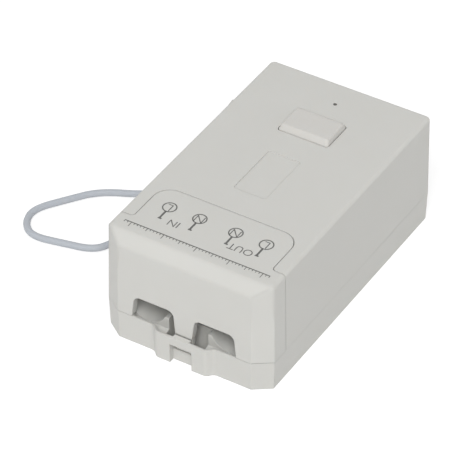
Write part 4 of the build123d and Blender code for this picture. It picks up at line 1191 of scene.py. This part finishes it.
@dataclass
class Terminals:
    """Terminal blocks with their cages, contacts and slotted screws."""

    poles: tuple[str, ...] = ("in_neutral", "in_live", "out_neutral", "out_live")

    def dress(self) -> None:
        """Gives the terminals their plastic and metals."""
        green = MouldedPlastic((0.022, 0.11, 0.05), (0.018, 0.09, 0.042), rough=0.42, dust=0.02)
        dress(green, "terminal_moulding", "terminal_block_in", "terminal_block_out")
        tinned = MetalFinish((0.58, 0.53, 0.36), (0.42, 0.36, 0.2), rough=0.3)
        dress(tinned, "tinned_brass", "terminal_contacts", *(f"terminal_cage_{pole}" for pole in self.poles))
        dress(ZINC, "zinc_plate", *(f"terminal_screw_{pole}" for pole in self.poles))


@dataclass
class CableClamps:
    """Moulded clamp bars behind the cable mouths."""

    def dress(self) -> None:
        """Gives the bars the case's own plastic."""
        dress(SATIN_CASE, "case_moulding", "cable_clamp_in", "cable_clamp_out")


@dataclass
class Boards:
    """Both circuit boards with what stands on them."""

    def dress(self) -> None:
        """Gives the boards and every part on them a finish."""
        dress(LaminateFinish(), "board_mask", "power_board", "control_board")
        dress(MouldedPlastic((0.012, 0.012, 0.013), (0.02, 0.02, 0.021), rough=0.48, dust=0.03),
              "dark_moulding", "board_header", "microcontroller", "bridge_rectifier", "tact_switch_body")
        dress(MouldedPlastic((0.016, 0.018, 0.026), (0.022, 0.024, 0.032), rough=0.22, grain=0.02),
              "relay_cover", "relay")
        dress(MouldedPlastic((0.5, 0.24, 0.012), (0.42, 0.19, 0.01), rough=0.3, grain=0.03),
              "film_case", "film_capacitor")
        dress(MouldedPlastic((0.012, 0.016, 0.04), (0.016, 0.02, 0.048), rough=0.2, grain=0.01),
              "can_sleeve", "electrolytic_capacitors")
        dress(MouldedPlastic((0.03, 0.03, 0.032), (0.05, 0.05, 0.052), rough=0.7, grain=0.25, scale=2600.0),
              "ferrite_core", "transformer_core", "choke")
        dress(WoundTape(), "wound_tape", "transformer_winding")
        dress(MouldedPlastic((0.018, 0.05, 0.26), (0.014, 0.04, 0.2), rough=0.36, grain=0.12, scale=900.0),
              "dipped_coating", "varistor")
        dress(MouldedPlastic((0.12, 0.05, 0.022), (0.09, 0.036, 0.016), rough=0.34), "fuse_body", "fuse")
        dress(MetalFinish((0.66, 0.66, 0.64), (0.5, 0.5, 0.48), rough=0.22),
              "tinned_can", "radio_can", "crystal", "header_pins")
        dress(ZINC, "zinc_plate", "board_screws")
        dress(LensFinish(), "lamp_resin", "indicator_led")
        dress(MouldedPlastic((0.016, 0.016, 0.016), (0.024, 0.024, 0.024), rough=0.4),
              "plunger_moulding", "tact_switch_plunger")
        dress(SHEATH, "lead_sheath", "aerial_leads")


# Studio


@dataclass
class Studio:
    """Pale floor, soft lamp and the camera, with lengths in metres.

    Attributes:
        eye: Camera's place.
        look: Camera's direction.
        focal: Focal length over the photograph's width.
        sensor: Width of its sensor, in millimetres.
        sight: Nearest and farthest distance that the camera shows.
        floor_half: Half of the floor's width.
        floor_z: The floor's level.
        cove: How far the floor's rear edge is pushed back and up.
        paper: The floor's brightness, low and high, as it lights the object.
        seen: The same for what the camera sees of it.
        seen_glow: Extra brightness of what the camera sees.
        sky: Strength of the soft light from all sides.
        lamp: Place of the lamp, which looks at the object.
        lamp_size: Width of the lamp.
        lamp_power: Power of the lamp, in watts.
    """

    eye: Point = (0.3494, -0.5958, 0.5824)
    look: Point = (-0.40245, 0.66023, -0.63414)
    focal: float = 3312.5 / 452
    sensor: float = 36.0
    sight: tuple[float, float] = (0.05, 40.0)
    floor_half: float = 4.0
    floor_z: float = -0.00002
    cove: tuple[float, float] = (0.4, 0.05)
    paper: tuple[float, float] = (0.78, 0.81)
    seen: tuple[float, float] = (0.50, 0.52)
    seen_glow: float = 0.62
    sky: float = 0.52
    lamp: Point = (0.57, -1.27, 1.57)
    lamp_size: float = 1.0
    lamp_power: float = 26.5

    def camera(self) -> None:
        """Sets the camera at the photograph's place."""
        lens = bpy.data.cameras.new("photo_camera")
        near, far = self.sight
        set_up(lens, sensor_width=self.sensor, lens=self.sensor * self.focal, clip_start=near, clip_end=far)
        stand = add_object("photo_camera", lens)
        aim(stand, self.eye, Vector(self.look))
        bpy.context.scene.camera = stand

    def floor(self) -> None:
        """Lays the pale floor, which shows white and keeps the shadow."""
        bpy.ops.mesh.primitive_grid_add(x_subdivisions=4, y_subdivisions=4, size=2 * self.floor_half,
                                        location=(0.0, 0.0, self.floor_z))
        ground = fresh("floor")
        with shaping(ground, "EDGE"):
            pick(ground, "edges", lambda a, b: min(a.y, b.y) > self.floor_half - NEAR)
            push_out(y=self.cove[0], z=self.cove[1])
        made = bpy.data.materials.new("floor_paper")
        made.use_nodes = True
        sheet = ShaderSheet(made.node_tree)
        fibre = sheet.spread(sheet.noise(900.0, detail=3.0, rough=0.6), 0.3, 0.7)
        paper, seen = (
            sheet.node("ShaderNodeBsdfDiffuse", {"Color": sheet.blend(fibre, (low,) * 3, (high,) * 3)})
            for low, high in (self.paper, self.seen)
        )
        glow = sheet.node("ShaderNodeEmission", {"Strength": self.seen_glow})
        lit = sheet.node("ShaderNodeAddShader", {0: seen.outputs[0], 1: glow.outputs[0]})
        surface = sheet.choose(self.sees_white(sheet), paper, lit)
        sheet.node("ShaderNodeOutputMaterial", {"Surface": surface})
        ground.data.materials.append(made)

    def sees_white(self, sheet: ShaderSheet) -> Socket:
        """Says where a ray is one that should meet the white background.

        Args:
            sheet: The sheet of the floor or the world.

        Returns:
            1 for camera, glossy and transmitted rays, else 0.
        """
        path = sheet.node("ShaderNodeLightPath").outputs
        soft = sheet.math("MAXIMUM", path["Is Glossy Ray"], path["Is Transmission Ray"])
        return sheet.math("MAXIMUM", path["Is Camera Ray"], soft)

    def world(self) -> None:
        """Sets the soft light from all sides, and the white that the camera sees."""
        world = bpy.data.worlds.new("white_room")
        bpy.context.scene.world = world
        world.use_nodes = True
        sheet = ShaderSheet(world.node_tree)
        around, white = (
            sheet.node("ShaderNodeBackground", {"Color": (1.0, 1.0, 1.0, 1.0), "Strength": strength})
            for strength in (self.sky, 1.0)
        )
        surface = sheet.choose(self.sees_white(sheet), around, white)
        sheet.node("ShaderNodeOutputWorld", {"Surface": surface})

    def light(self) -> None:
        """Hangs the soft lamp."""
        data = bpy.data.lights.new("key_lamp", "AREA")
        set_up(data, shape="SQUARE", size=self.lamp_size, energy=self.lamp_power)
        aim(add_object("key_lamp", data), self.lamp, -Vector(self.lamp))


def main() -> None:
    """Builds and dresses every sub-assembly, then the studio."""
    logging.basicConfig(level=logging.INFO, format="%(name)s: %(message)s")
    bpy.context.scene.view_settings.view_transform = "Standard"
    studio = Studio()
    studio.camera()
    aerial = AerialLoop()
    aerial.dress(aerial.build())
    CaseShell().dress()
    marks = PrintedMarks()
    marks.dress(marks.build())
    zinc = ZINC.material("zinc_plate")
    for group in SCREW_SETS:
        group.dress(group.build(), zinc)
    Terminals().dress()
    CableClamps().dress()
    Boards().dress()
    studio.floor()
    studio.world()
    studio.light()


if __name__ == "__main__":
    main()
